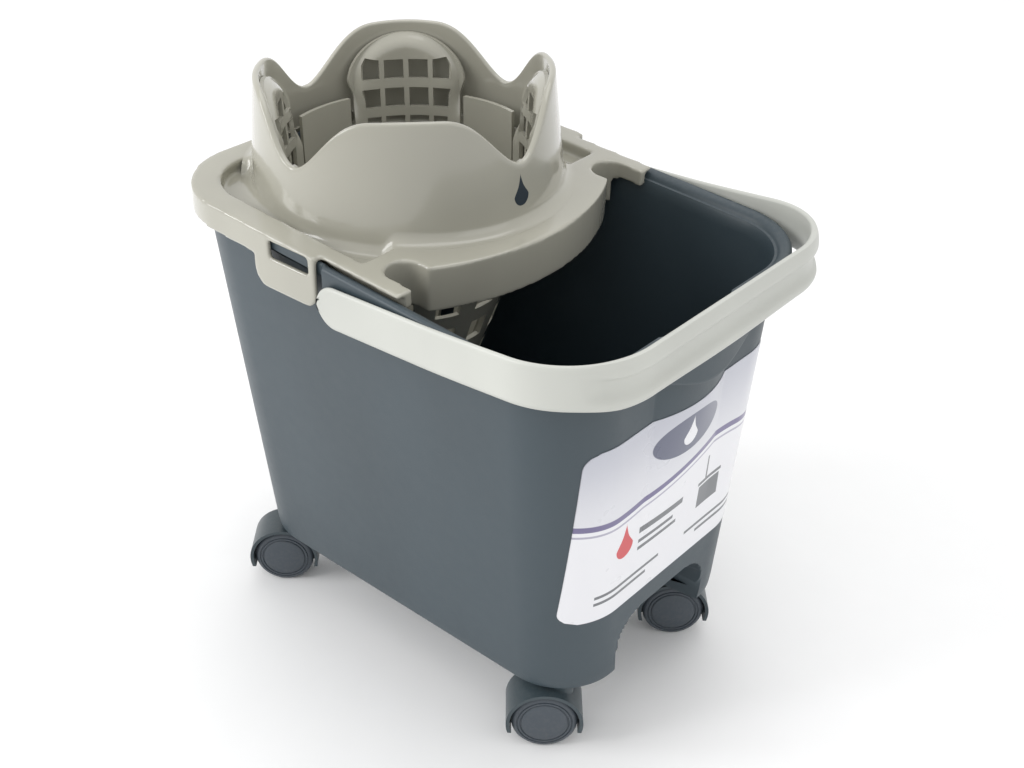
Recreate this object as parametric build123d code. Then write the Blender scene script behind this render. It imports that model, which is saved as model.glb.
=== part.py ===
from build123d import *
import math
import os

# Rectangular mop bucket on four twin-wheel castors, with a carrying handle folded to the front
# and a lift-off wringer whose pressing basket has four hinged petals.
# Millimetres. +Z up, the floor is z = 0, +X is the pouring end, -X the wringer end.
# Shapes are made about the middle of the bucket's bottom, then moved by centre_shift along X,
# so that the origin is at the bottom centre of the whole object's box.

# ---- bucket ----
base_length = 281.0       # outside, along X, at the lower edge
base_width = 172.0
base_radius = 41.0
base_z = 48.0             # lower edge of the walls above the floor
top_length = 302.0        # outside of the walls at the rim
top_width = 218.0
top_radius = 44.0
top_offset = 1.5          # the middle of the mouth lies this far towards the pouring end
rim_z = 295.5             # top of the rim above the middle of the bottom
rim_slope = 3.7           # degrees that the mouth falls towards the pouring end
wall = 2.8
floor_gap = 9.0           # recess under the bucket's bottom, above the lower edge of the walls
floor_thickness = 3.0
recess_wall = 3.4

# ---- rim ----
rim_thickness = 3.0
rear_flange = 4.0         # overhang of the rim under the wringer
rear_skirt = 8.0
front_flange = 7.0        # overhang of the deep skirt round the front
skirt_thickness = 2.5
skirt_bottom_z = rim_z - 28.5
skirt_start_x = -16.0     # where the deep skirt begins
spout_reach = 6.5         # how far the pouring lip stands out of the skirt
spout_half_width = 62.0
spout_drop_z = rim_z - 48.0
spout_drop_half_width = 66.0
channel_reach = 8.5       # pouring channel pressed out of the front wall
channel_half_width = 33.0
channel_depth = 20.0
channel_bottom_z = 128.0

# ---- grip recess between the front feet ----
arch_half_width = 41.5
arch_top_z = 87.0
arch_radius = 20.0
arch_depth = 34.0

# ---- label on the front ----
label_thickness = 0.4
label_low_z = 104.0
label_high_z = 229.0
label_half_width = 84.0
label_radius = 9.0

# ---- handle ----
pivot_x = -3.0
pivot_z = rim_z - 19.0
handle_tilt = 2.6         # degrees, rising to the front where it rests on the pouring lip
handle_gap = 1.0          # beside the skirt
handle_strap = 3.6
handle_height = 26.0
handle_radius = 48.0
handle_clearance = 2.0    # between the grip and the pouring lip
grip_thickness = 5.4
grip_height = 33.0
grip_half_length = 76.0
channel_height = 19.0     # long hollow in the face of the grip
hollow_depth = 2.0
peg_dia = 8.0
peg_clearance = 0.08
peg_reach = 6.0

# ---- wringer frame ----
cup_x = -63.0
cup_top_radius = 88.0
cup_top_z = rim_z + 64.5
cup_base_radius = 94.0
cup_base_z = rim_z + 2.5
cup_wall = 3.0
crest_peak_z = rim_z + 70.0
crest_valley_z = rim_z + 36.5
crest_shoulder = 0.9       # share of the lobe that rises, before it levels off
crest_crown = 0.12         # share of the height that stays rounded on top
frame_seat = 0.3          # between the frame's underside and the rim
frame_plate = 2.8
lip_wall = 3.0
lip_gap = 0.5             # beside the rear rim
lip_drop = 13.0
tub_depth = 7.0           # gutter round the cup, below the rim
tub_clearance = 1.2
tub_border = 7.0
arm_tip_x = 38.0
arm_inner_y = top_width / 2 - 9.0
arm_outer_y = top_width / 2 + 1.5
deck_front_x = 50.0       # bowed front edge of the deck, at the middle
deck_end_x = 29.0         # and at its ends
deck_end_y = top_width / 2 - 31.0
deck_drop = 25.0
deck_wall = 2.8
notch_x = 22.0
clip_rear_x = -71.0
clip_front_x = -20.5
clip_bottom_z = rim_z - 27.5
window_rear_x = -58.0
window_front_x = -26.0
window_low = 11.0         # below the rim
window_high = 0.4
guide_wall = 2.6
guide_bottom_z = rim_z - 44.5

# ---- pressing basket ----
basket_gap = 0.4          # inside the guide, and between pieces that move past each other
basket_ring_top_z = rim_z - 28.5
basket_ring_height = 9.0
basket_wall = 2.6
cone_top_radius = 71.0
ring_overhang = 5.6       # of the basket's ring beyond its cone
cone_bottom_radius = 27.0
cone_bottom_z = rim_z - 157.5
cone_rows = 4
cone_holes = 14
panel_top_z = rim_z + 26.5
panel_half_angle = 15.5
petal_radius = 76.0       # outside of the petals
petal_wall = 3.0
petal_bottom_z = rim_z - 27.0
petal_shoulder_z = rim_z + 32.5
petal_top_z = rim_z + 63.5
petal_half_width = 34.5
petal_column = 12.6
petal_row = 18.3
petal_hole = 12.2
petal_swing = 18.5         # degrees that a petal closes

# ---- sticker on the cup ----
sticker_thickness = 0.3
sticker_angle = 48.0
sticker_half_angle = 7.0
sticker_low_z = rim_z + 7.5
sticker_high_z = rim_z + 34.5

# ---- castors ----
castor_x = 118.2          # stem positions from the middle of the bottom
castor_y = 66.5
castor_heading = 221.0    # degrees, direction in which the wheels trail behind the stem
trail = 10.0
wheel_dia = 40.0
wheel_width = 8.0
wheel_dish = 1.6
wheel_web_gap = 0.5       # between a wheel and the middle web of the hood
web_thickness = 10.0
web_below = 3.0           # of the web under the axle, besides the axle's own diameter
hood_gap = 1.3
hood_wall = 2.2
hood_wrap = 18.0          # degrees that the hood's tips reach below the axle
hub_dia = 15.0
hub_top_z = 46.4
boss_dia = 18.0
boss_gap = 0.4
boss_height = 10.0        # of the socket's dome above the bucket's bottom
stem_dia = 7.0
stem_depth = 18.0
stem_foot_z = 27.0
axle_dia = 4.0
running_gap = 0.06

# ---- sizes that follow ----
floor_low_z = base_z + floor_gap
floor_top_z = floor_low_z + floor_thickness
top_rear_x = top_offset - top_length / 2
top_front_x = top_offset + top_length / 2
rear_rim_x = top_rear_x - rear_flange
skirt_half_width = top_width / 2 + front_flange
skirt_front_x = top_front_x + front_flange
spout_front_x = skirt_front_x + spout_reach
lip_inner_y = top_width / 2 + rear_flange + lip_gap
lip_rear_x = rear_rim_x - lip_gap - lip_wall
arm_y = skirt_half_width + handle_gap
handle_outer_y = arm_y + handle_strap
grip_inner_x = spout_front_x + handle_clearance
grip_reach = grip_inner_x + grip_thickness - pivot_x
grip_outer_x = pivot_x + (grip_reach * math.cos(math.radians(handle_tilt))
                          + grip_height / 2 * math.sin(math.radians(handle_tilt)))
centre_shift = -(lip_rear_x + grip_outer_x) / 2
mouth_tilt = math.tan(math.radians(rim_slope))
guide_radius = cone_top_radius + ring_overhang + basket_gap
cup_taper = (cup_base_radius - cup_top_radius) / (cup_base_z - cup_top_z)
petal_centres = (45, 135, 225, 315)
castor_names = {
    "front_left": (1, -1),
    "front_right": (1, 1),
    "rear_left": (-1, -1),
    "rear_right": (-1, 1),
}
petal_names = {
    45: "petal_front_right",
    135: "petal_rear_right",
    225: "petal_rear_left",
    315: "petal_front_left",
}
hinge_radius = petal_radius - petal_wall / 2

os.makedirs("parts", exist_ok=True)


def mouth_plane(lift=0.0):
    """The plane of the rim, lift millimetres above it."""
    slope = math.radians(rim_slope)
    normal = Vector(math.sin(slope), 0, math.cos(slope))
    return Plane(origin=Vector(0, 0, rim_z) + normal * lift, x_dir=(math.cos(slope), 0, -math.sin(slope)),
                 z_dir=normal)


def mouth_z(x, lift=0.0):
    """Height of the rim's plane at x."""
    return rim_z - x * mouth_tilt + lift / math.cos(math.radians(rim_slope))


def rounded(rear_x, front_x, half_width, radius):
    """A rounded rectangle in plan, between two places along X."""
    return Pos((rear_x + front_x) / 2, 0) * RectangleRounded(front_x - rear_x, 2 * half_width, radius)


def box(x0, x1, y0, y1, z0, z1):
    return Pos((x0 + x1) / 2, (y0 + y1) / 2, (z0 + z1) / 2) * Box(x1 - x0, y1 - y0, z1 - z0)


def both_sides(shape):
    """The shape and its mirror image across the middle plane."""
    return shape + mirror(shape, Plane.XZ)


def wall_at(z, inset=0.0):
    """Plan of the bucket's outside at height z, at the middle of the bucket, moved in by inset."""
    share = (z - base_z) / (rim_z - base_z)
    rear = -base_length / 2 + share * (top_rear_x + base_length / 2)
    front = base_length / 2 + share * (top_front_x - base_length / 2)
    half = base_width / 2 + share * (top_width - base_width) / 2
    radius = base_radius + share * (top_radius - base_radius)
    return rounded(rear + inset, front - inset, half - inset, max(radius - inset, 5.0))


def tapered(low_z, inset, lift):
    """The bucket's tapered form from low_z up to the rim's plane."""
    top = rounded(top_rear_x + inset, top_front_x - inset, top_width / 2 - inset, top_radius - inset)
    return loft([Pos(0, 0, low_z) * wall_at(low_z, inset), mouth_plane(lift) * top], ruled=True)


def channel(inset, lift):
    """The pouring channel: a leaning half cone pressed out of the front wall."""
    upper = Pos(top_front_x + channel_reach - channel_depth, 0) * Ellipse(channel_depth - inset,
                                                                         channel_half_width - inset)
    front = base_length / 2 + (channel_bottom_z - base_z) / (rim_z - base_z) * (top_front_x - base_length / 2)
    lower = Pos(front - channel_depth - inset, 0, channel_bottom_z) * Ellipse(channel_depth,
                                                                              channel_half_width * 0.6)
    return loft([lower, mouth_plane(lift) * upper], ruled=True)


def spout_plan(inset=0.0):
    """Plan of the deep skirt with the pouring lip at its front."""
    skirt = rounded(rear_rim_x, skirt_front_x, skirt_half_width, top_radius + front_flange)
    lip = Pos(skirt_front_x, 0) * Ellipse(spout_reach, spout_half_width)
    return offset(skirt + lip, -inset, kind=Kind.INTERSECTION) if inset else skirt + lip


def apron_keep():
    """Block in front of the bucket, above the curve in which the skirt dips under the pouring lip."""
    half = spout_drop_half_width
    top = skirt_bottom_z + 60
    left = (-half, skirt_bottom_z)
    right = (half, skirt_bottom_z)
    dip = Spline(left, (0, spout_drop_z), right, tangents=((1, 0), (1, 0)))
    frame = Polyline(right, (half, top), (-half, top), left)
    plane = Plane(origin=(top_front_x, 0, 0), x_dir=(0, 1, 0), z_dir=(1, 0, 0))
    return extrude(plane * make_face(dip + frame), 60)


def arch(margin, depth):
    """The grip recess between the front feet, grown by margin on its inside."""
    half = arch_half_width + margin
    top = arch_top_z + margin
    profile = Pos(0, top - (top + 40) / 2) * RectangleRounded(2 * half, top + 40, arch_radius + margin)
    face = Plane(origin=(base_length / 2 - depth, 0, 0), x_dir=(0, 1, 0), z_dir=(1, 0, 0)) * profile
    return extrude(face, 120)


def stem_place(name):
    side_x, side_y = castor_names[name]
    return Pos(side_x * castor_x, side_y * castor_y, 0)


def make_bucket():
    body = tapered(base_z, 0, -rim_thickness / 2) + channel(0, -rim_thickness / 2)
    # rolled rim: a flat flange, a short skirt under the wringer and a deep one round the front
    rear_half = top_width / 2 + rear_flange
    rear_corner = top_radius + rear_flange
    rear_plan = rounded(rear_rim_x, skirt_front_x - 20, rear_half, rear_corner)
    rear_inner = rounded(rear_rim_x + skirt_thickness, skirt_front_x - 20,
                         rear_half - skirt_thickness, rear_corner - skirt_thickness)
    body += extrude(mouth_plane(-rim_thickness) * rear_plan, rim_thickness)
    front_keep = box(skirt_start_x, 400, -200, 200, 0, 500)
    rear_keep = box(-400, skirt_start_x + 20, -200, 200, 0, 500)
    body += extrude(mouth_plane(-rear_skirt) * (rear_plan - rear_inner), rear_skirt) & rear_keep
    deep = Pos(0, 0, skirt_bottom_z) * extrude(spout_plan() - spout_plan(skirt_thickness), 60)
    apron = Pos(0, 0, spout_drop_z - 1) * extrude(spout_plan() - spout_plan(skirt_thickness), 60) & apron_keep()
    below_rim = extrude(mouth_plane(-0.01) * Rectangle(900, 900), -200)
    body += (deep + apron) & front_keep & below_rim
    flange = extrude(mouth_plane(-rim_thickness) * spout_plan(), rim_thickness) & front_keep
    body += flange
    for side in (-1, 1):
        y = side * (top_width / 2 + rear_flange / 2 + front_flange / 2)
        body += box(skirt_start_x, skirt_start_x + skirt_thickness, min(y - 2, y + 2), max(y - 2, y + 2),
                    skirt_bottom_z, mouth_z(skirt_start_x, -rim_thickness / 2))
    # inside
    cavity = tapered(floor_top_z, wall, 2) + (channel(wall, 2) & box(0, 400, -99, 99, channel_bottom_z, 400))
    cavity -= arch(wall, arch_depth + wall)
    body -= cavity
    # underside
    recess = extrude(Pos(0, 0, base_z - 1) * wall_at(base_z, recess_wall), floor_gap + 1)
    body -= recess
    body -= arch(0, arch_depth)
    for name in castor_names:
        place = stem_place(name)
        boss = extrude(Circle(boss_dia / 2), floor_top_z + boss_height - hub_top_z - boss_gap)
        body += place * Pos(0, 0, hub_top_z + boss_gap) * boss
    for name in castor_names:
        bore = Cylinder(stem_dia / 2 + running_gap, stem_depth + 1,
                        align=(Align.CENTER, Align.CENTER, Align.MIN))
        body -= stem_place(name) * Pos(0, 0, hub_top_z + boss_gap - 1) * bore
    # pivot holes for the handle's pegs
    hole = Pos(pivot_x, 0, pivot_z) * Rot(90, 0, 0) * Cylinder(peg_dia / 2 + peg_clearance, 2 * arm_y)
    hole -= box(-99, 99, -top_width / 2 - 1, top_width / 2 + 1, 0, 500)
    body -= hole
    return body


def make_label():
    skin = tapered(base_z, -label_thickness, -rim_thickness / 2) + channel(-label_thickness, -rim_thickness / 2)
    skin -= tapered(base_z, 0, -rim_thickness / 2) + channel(0, -rim_thickness / 2)
    height = label_high_z - label_low_z
    outline = RectangleRounded(2 * label_half_width, height, label_radius)
    plane = Plane(origin=(90, 0, (label_low_z + label_high_z) / 2), x_dir=(0, 1, 0), z_dir=(1, 0, 0))
    return skin & extrude(plane * outline, 120)


def make_handle():
    """U-shaped strap, made level with its pegs at the origin, then turned about them."""
    front = grip_reach - grip_thickness / 2 + handle_strap / 2
    outer = rounded(-front - 100, front, handle_outer_y, handle_radius + handle_strap)
    inner = rounded(-front - 100, front - handle_strap, arm_y, handle_radius)
    strap = extrude(Pos(0, 0, -handle_height / 2) * (outer - inner), handle_height)
    side = Rectangle(front + 100, handle_height, align=(Align.MIN, Align.CENTER)) + Circle(handle_height / 2)
    keep = extrude(Plane.XZ * side, 400, both=True)
    strap &= keep
    grip = box(grip_reach - grip_thickness, grip_reach, -grip_half_length, grip_half_length,
               -grip_height / 2, grip_height / 2)
    grip = fillet(grip.edges().filter_by(Axis.X), 10)
    strap += grip
    slot = Plane(origin=(grip_reach - hollow_depth, 0, 0), x_dir=(0, 1, 0), z_dir=(1, 0, 0))
    strap -= extrude(slot * SlotOverall(2 * grip_half_length - 8, channel_height), 20)
    peg = Pos(0, -arm_y + peg_reach / 2, 0) * Rot(90, 0, 0) * Cylinder(peg_dia / 2, peg_reach + 1.0)
    strap += both_sides(peg)
    return Pos(pivot_x, 0, pivot_z) * Rot(0, -handle_tilt, 0) * strap


def crest_z(angle):
    """Height of the cup's edge: four lobes, a valley every quarter turn from angle 0."""
    wave = abs(math.sin(math.radians(2 * angle)))
    rise = min(wave / crest_shoulder, 1)
    plateau = rise * rise * (3 - 2 * rise)
    lobe = (1 - crest_crown) * plateau + crest_crown * wave * wave
    return crest_valley_z + (crest_peak_z - crest_valley_z) * lobe


def cup_radius(z):
    return cup_top_radius + cup_taper * (z - cup_top_z)


def cup_solid(low_z, high_z, inset):
    low = Circle(cup_radius(low_z) - inset)
    high = Circle(cup_radius(high_z) - inset)
    return Pos(cup_x, 0, 0) * loft([Pos(0, 0, low_z) * low, Pos(0, 0, high_z) * high], ruled=True)


def crest_cutters():
    """Four blocks above the valleys, whose undersides follow the crest."""
    reach = cup_top_radius
    points = [(reach * math.sin(math.radians(a)), crest_z(a)) for a in range(-45, 46, 6)]
    points[-1] = (reach * math.sin(math.radians(45)), crest_z(45))
    edge = Spline(*points)
    top = crest_peak_z + 30
    frame = Polyline(points[-1], (points[-1][0], top), (points[0][0], top), points[0])
    face = make_face(edge + frame)
    cutter = extrude(Plane(origin=(20, 0, 0), x_dir=(0, 1, 0), z_dir=(1, 0, 0)) * face, 200)
    return [Pos(cup_x, 0, 0) * Rot(0, 0, quarter) * cutter for quarter in (0, 90, 180, 270)]


def deck_plan():
    """Plan of the deck in front of the cup, with a notch at each end."""
    bow = ThreePointArc((deck_end_x, -deck_end_y), (deck_front_x, 0), (deck_end_x, deck_end_y))
    sides = Polyline((deck_end_x, deck_end_y), (-60, deck_end_y), (-60, -deck_end_y), (deck_end_x, -deck_end_y))
    plan = make_face(bow + sides)
    notch_y = (deck_end_y + arm_inner_y) / 2
    radius = (arm_inner_y - deck_end_y) / 2
    for side in (-1, 1):
        y = side * notch_y
        plan += Pos((-60 + notch_x) / 2, y) * Rectangle(60 + notch_x, 2 * radius + 0.02)
        plan -= Pos(notch_x, y) * Circle(radius)
    return plan


def make_frame():
    rear = rounded(lip_rear_x, clip_front_x + 120, lip_inner_y + lip_wall, top_radius + rear_flange + lip_wall)
    rear &= Pos((clip_front_x - 400) / 2, 0) * Rectangle(clip_front_x + 400, 400)
    deck = deck_plan()
    arms = Rectangle(1, 1)
    arms = Pos((arm_tip_x - 60) / 2, (arm_inner_y + arm_outer_y) / 2) * Rectangle(
        arm_tip_x + 60, arm_outer_y - arm_inner_y)
    plan = rear + deck + arms + mirror(arms, Plane.XZ)
    frame = extrude(mouth_plane(frame_seat) * plan, frame_plate)
    # wrap round the outside of the rear rim
    inner = rounded(lip_rear_x + lip_wall, clip_front_x + 120, lip_inner_y, top_radius + rear_flange)
    inner &= Pos((clip_front_x - 400) / 2, 0) * Rectangle(clip_front_x + 401, 400)
    frame += extrude(mouth_plane(-lip_drop) * (rear - inner), lip_drop + frame_seat + 0.1)
    # clip tongues with a window each
    tongue = box(clip_rear_x, clip_front_x, -lip_inner_y - lip_wall, -lip_inner_y, clip_bottom_z,
                 mouth_z(clip_front_x, frame_seat))
    tongue = fillet(tongue.edges().filter_by(Axis.Y).group_by(Axis.Z)[0], 10)
    frame += both_sides(tongue)
    window = box(window_rear_x, window_front_x, -lip_inner_y - lip_wall - 1, -lip_inner_y + 1,
                 mouth_z(window_rear_x) - window_low, mouth_z(window_rear_x) - window_high)
    frame -= both_sides(window)
    # gutter inside the mouth, round the cup
    tub = rounded(top_rear_x + wall + tub_clearance, 120, top_width / 2 - wall - tub_clearance,
                  top_radius - wall - tub_clearance)
    tub &= plan
    frame += extrude(mouth_plane(-tub_depth) * tub, tub_depth + frame_seat + 0.1)
    pool = rounded(top_rear_x + wall + tub_border, 120, top_width / 2 - wall - tub_border,
                   top_radius - wall - tub_border)
    pool &= Pos(-200, 0) * Rectangle(400, 400)
    frame -= extrude(mouth_plane(frame_plate - tub_depth) * pool, tub_depth + 10)
    # downward wall of the deck, also round its notches
    shell = deck - offset(deck, -deck_wall, kind=Kind.INTERSECTION)
    shell &= Pos(100, 0) * Rectangle(200, 400)
    frame += extrude(mouth_plane(-deck_drop) * shell, deck_drop + frame_seat + 0.1)
    # cup and the guide under it
    low_z = mouth_z(cup_x, -tub_depth)
    cup = cup_solid(low_z - 4, crest_peak_z, 0)
    for cutter in crest_cutters():
        cup -= cutter
    above = extrude(mouth_plane(-tub_depth) * Rectangle(900, 900), 200)
    frame += cup & above
    guide = Cylinder(guide_radius + guide_wall, 80, align=(Align.CENTER, Align.CENTER, Align.MIN))
    below = extrude(mouth_plane(-tub_depth + 1) * Rectangle(900, 900), -99)
    frame += (Pos(cup_x, 0, guide_bottom_z) * guide) & below
    step_z = mouth_z(cup_x, frame_plate)
    frame -= cup_solid(step_z, crest_peak_z + 5, cup_wall)
    bore = Cylinder(guide_radius, 200, align=(Align.CENTER, Align.CENTER, Align.MIN))
    frame -= Pos(cup_x, 0, guide_bottom_z - 10) * bore
    # room for the rear rim
    rim_room = rounded(lip_rear_x + lip_wall, 300, lip_inner_y, top_radius + rear_flange)
    rim_room -= rounded(top_rear_x + wall + tub_clearance, 400, top_width / 2 - wall - tub_clearance,
                        top_radius - wall - tub_clearance)
    frame -= extrude(mouth_plane(-60) * rim_room, 60 + frame_seat)
    return frame


def make_sticker():
    patch = cup_solid(cup_base_z - 5, cup_top_z, -sticker_thickness)
    patch -= cup_solid(cup_base_z - 5, cup_top_z, 0)
    half = cup_top_radius * math.sin(math.radians(sticker_half_angle))
    keep = box(20, 150, -half, half, sticker_low_z, sticker_high_z)
    return patch & Pos(cup_x, 0, 0) * Rot(0, 0, sticker_angle) * keep


def make_basket():
    ring_radius = cone_top_radius + ring_overhang
    ring_low = basket_ring_top_z - basket_ring_height
    slope = (cone_top_radius - cone_bottom_radius) / (ring_low - cone_bottom_z)
    profile = Polyline(
        (0, cone_bottom_z),
        (cone_bottom_radius, cone_bottom_z),
        (cone_top_radius, ring_low),
        (ring_radius, ring_low),
        (ring_radius, basket_ring_top_z),
        (ring_radius - basket_wall, basket_ring_top_z),
        (ring_radius - basket_wall, ring_low + basket_wall),
        (cone_top_radius - basket_wall, ring_low + basket_wall),
        (cone_bottom_radius - basket_wall, cone_bottom_z + basket_wall),
        (0, cone_bottom_z + basket_wall),
        close=True)
    basket = revolve(Plane.XZ * make_face(profile), Axis.Z)
    # rows of holes that narrow towards the bottom
    pitch = (ring_low - cone_bottom_z) / (cone_rows + 0.5)
    holes = []
    for row in range(cone_rows):
        z = cone_bottom_z + pitch * (row + 0.75)
        radius = cone_bottom_radius + slope * (z - cone_bottom_z)
        width = 2 * math.pi * radius / cone_holes * 0.55
        for k in range(cone_holes):
            angle = 360 / cone_holes * k
            holes.append(Rot(0, 0, angle) * Pos(radius, 0, z) * Box(24, width, pitch * 0.6))
    basket -= holes
    drains = [Rot(0, 0, 60 * k) * Pos(cone_bottom_radius * 0.55, 0, cone_bottom_z) * Cylinder(4, 20)
              for k in range(6)]
    basket -= drains
    # plain panels between the petals
    tube = Cylinder(ring_radius, panel_top_z - ring_low, align=(Align.CENTER, Align.CENTER, Align.MIN))
    tube -= Cylinder(ring_radius - basket_wall, 200)
    half = ring_radius * math.sin(math.radians(panel_half_angle))
    panel = Pos(0, 0, ring_low) * tube & box(20, 150, -half, half, 0, 500)
    for quarter in (0, 90, 180, 270):
        basket += Rot(0, 0, quarter) * panel
    return Pos(cup_x, 0, 0) * basket


def make_petal(angle):
    """A curved paddle with a grid of holes, rounded at its top."""
    height = petal_top_z - petal_bottom_z
    tube = Cylinder(petal_radius, height, align=(Align.CENTER, Align.CENTER, Align.MIN))
    tube -= Cylinder(petal_radius - petal_wall, 400)
    low = Pos(0, (petal_bottom_z + petal_shoulder_z) / 2) * Rectangle(
        2 * petal_half_width, petal_shoulder_z - petal_bottom_z)
    cap = Pos(0, petal_shoulder_z) * Ellipse(petal_half_width, petal_top_z - petal_shoulder_z)
    outline = low + cap
    for row in range(4):
        z = petal_bottom_z + 14 + row * petal_row
        for column in (-1.5, -0.5, 0.5, 1.5):
            if row == 3 and abs(column) > 1:
                continue
            width = petal_hole if abs(column) < 1 else petal_hole - 2.4
            centre = column * (petal_column + 3.2) * (1 if abs(column) < 1 else 0.96)
            outline -= Pos(centre, z) * RectangleRounded(width, petal_hole, 1.5)
    plane = Plane(origin=(20, 0, 0), x_dir=(0, 1, 0), z_dir=(1, 0, 0))
    petal = Pos(0, 0, petal_bottom_z) * tube & extrude(plane * outline, 120)
    # the foot is bevelled, so that it stays above the ring when the petal swings inwards
    wedge = Rot(0, petal_swing + 1, 0) * box(-petal_radius, 0, -petal_radius, petal_radius, -30, 0)
    petal -= Pos(hinge_radius, 0, petal_bottom_z) * wedge
    return Pos(cup_x, 0, 0) * Rot(0, 0, angle) * petal


def castor_frame(name):
    """Stem at the origin of X and Y, wheels trailing towards +X in the castor's own axes."""
    return stem_place(name) * Rot(0, 0, castor_heading)


def make_hood():
    """Half drum over both wheels, with a middle web that holds the axle and a hub for the stem."""
    inner = wheel_dia / 2 + hood_gap
    outer = inner + hood_wall
    full = web_thickness + 2 * (wheel_web_gap + wheel_width)
    lie = Pos(trail, 0, wheel_dia / 2) * Rot(90, 0, 0)
    drum = lie * (Cylinder(outer, full) - Cylinder(inner, full + 1))
    drop = outer * math.sin(math.radians(hood_wrap))
    drum &= box(-100, 100, -50, 50, wheel_dia / 2 - drop, 100)
    hood = drum + lie * Cylinder(outer - 1, web_thickness)
    hood -= box(-100, 100, -50, 50, -99, wheel_dia / 2 - axle_dia - web_below)
    hub = Pos(0, 0, wheel_dia / 2) * Cylinder(hub_dia / 2, hub_top_z - wheel_dia / 2,
                                              align=(Align.CENTER, Align.CENTER, Align.MIN))
    wells = [lie * Pos(0, 0, side * (web_thickness / 2 + 30)) * Cylinder(inner, 60) for side in (-1, 1)]
    hood += hub
    for well in wells:
        hood -= well
    hood -= lie * Cylinder(axle_dia / 2 + running_gap, full + 10)
    hood -= Pos(0, 0, stem_foot_z) * Cylinder(stem_dia / 2, 60, align=(Align.CENTER, Align.CENTER, Align.MIN))
    return hood


def make_stem():
    top = hub_top_z + boss_gap + stem_depth - 0.6
    stem = Cylinder(stem_dia / 2, top - stem_foot_z, align=(Align.CENTER, Align.CENTER, Align.MIN))
    return Pos(0, 0, stem_foot_z) * chamfer(stem.edges().group_by(Axis.Z)[-1], 0.8)


def make_axle():
    length = web_thickness + 2 * (wheel_web_gap + wheel_width) - 3
    return Pos(trail, 0, wheel_dia / 2) * Rot(90, 0, 0) * Cylinder(axle_dia / 2, length)


def make_wheel(side):
    """One disc of the pair: domed outside with a shallow ring near its edge."""
    radius = wheel_dia / 2
    thick = wheel_width
    face_z = thick - 0.6
    dome_radius = radius - 3.8
    profile = Polyline((0, 0), (radius - 1, 0), (radius, 1), (radius, thick - 2.4), (radius - 1.6, face_z),
                       (radius - 2.6, face_z), (radius - 3.2, face_z - 0.4), (dome_radius, face_z))
    rise = thick + wheel_dish - face_z
    ball = (dome_radius ** 2 + rise ** 2) / (2 * rise)
    middle = dome_radius / 2
    middle_z = thick + wheel_dish - ball + math.sqrt(ball ** 2 - middle ** 2)
    dome = ThreePointArc((dome_radius, face_z), (middle, middle_z), (0, thick + wheel_dish))
    closing = Line((0, thick + wheel_dish), (0, 0))
    wheel = revolve(Plane.XZ * make_face(profile + dome + closing), Axis.Z)
    wheel -= Cylinder(axle_dia / 2, 2 * (thick - 1.5))
    inside = web_thickness / 2 + wheel_web_gap
    return Pos(trail, side * inside, radius) * Rot(-90 * side, 0, 0) * wheel


def write(shape, name):
    export_step(Pos(centre_shift, 0, 0) * shape, "parts/" + name + ".step")


write(make_bucket(), "bucket_body")
write(make_label(), "front_label")
write(make_handle(), "handle")
write(make_frame(), "wringer_frame")
write(make_sticker(), "cup_sticker")
write(make_basket(), "wringer_basket")
for petal_angle in petal_centres:
    write(make_petal(petal_angle), petal_names[petal_angle])
for castor in castor_names:
    write(castor_frame(castor) * make_hood(), "castor_hood_" + castor)
    write(castor_frame(castor) * make_stem(), "castor_stem_" + castor)
    write(castor_frame(castor) * make_axle(), "castor_axle_" + castor)
    write(castor_frame(castor) * make_wheel(-1), "castor_wheel_inner_" + castor)
    write(castor_frame(castor) * make_wheel(1), "castor_wheel_outer_" + castor)
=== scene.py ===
"""Looks of a rectangular mop bucket on castors with a lift-off press wringer, built round its CAD frame."""

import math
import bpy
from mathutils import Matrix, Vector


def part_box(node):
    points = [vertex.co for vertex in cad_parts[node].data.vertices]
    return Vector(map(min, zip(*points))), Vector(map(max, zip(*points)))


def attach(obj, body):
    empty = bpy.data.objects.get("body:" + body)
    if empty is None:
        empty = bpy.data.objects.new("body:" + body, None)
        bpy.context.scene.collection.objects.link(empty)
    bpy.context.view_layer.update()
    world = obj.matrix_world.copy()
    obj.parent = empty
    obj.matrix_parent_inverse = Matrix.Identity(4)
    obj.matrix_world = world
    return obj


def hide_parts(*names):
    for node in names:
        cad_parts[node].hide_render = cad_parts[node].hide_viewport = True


bl_info = {
    "name": "Mop Bucket with Wringer",
    "version": (1, 0, 0),
    "blender": (4, 5, 0),
    "location": "3D View > Sidebar > Mop Bucket",
    "description": "Builds a wheeled mop bucket, its folding handle and its press wringer",
    "category": "Add Mesh",
}

import bmesh
import bpy
import numpy as np
from bpy.props import FloatProperty, FloatVectorProperty, IntProperty, PointerProperty
from mathutils import Matrix, Vector
from mathutils.geometry import delaunay_2d_cdt

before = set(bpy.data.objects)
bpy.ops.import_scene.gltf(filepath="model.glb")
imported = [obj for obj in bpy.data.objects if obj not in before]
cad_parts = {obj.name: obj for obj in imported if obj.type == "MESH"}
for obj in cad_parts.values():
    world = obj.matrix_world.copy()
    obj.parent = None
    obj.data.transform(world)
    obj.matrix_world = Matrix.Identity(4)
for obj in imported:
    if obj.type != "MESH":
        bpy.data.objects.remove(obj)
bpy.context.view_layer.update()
MM = 0.001
CORNERS = ("front_left", "front_right", "rear_left", "rear_right")
PETALS = ("petal_front_right", "petal_rear_right", "petal_rear_left", "petal_front_left")


def box_middle(node):
    """Middle of a CAD node's box, as an array."""
    low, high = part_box(node)
    return (np.array(low) + np.array(high)) / 2


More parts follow.
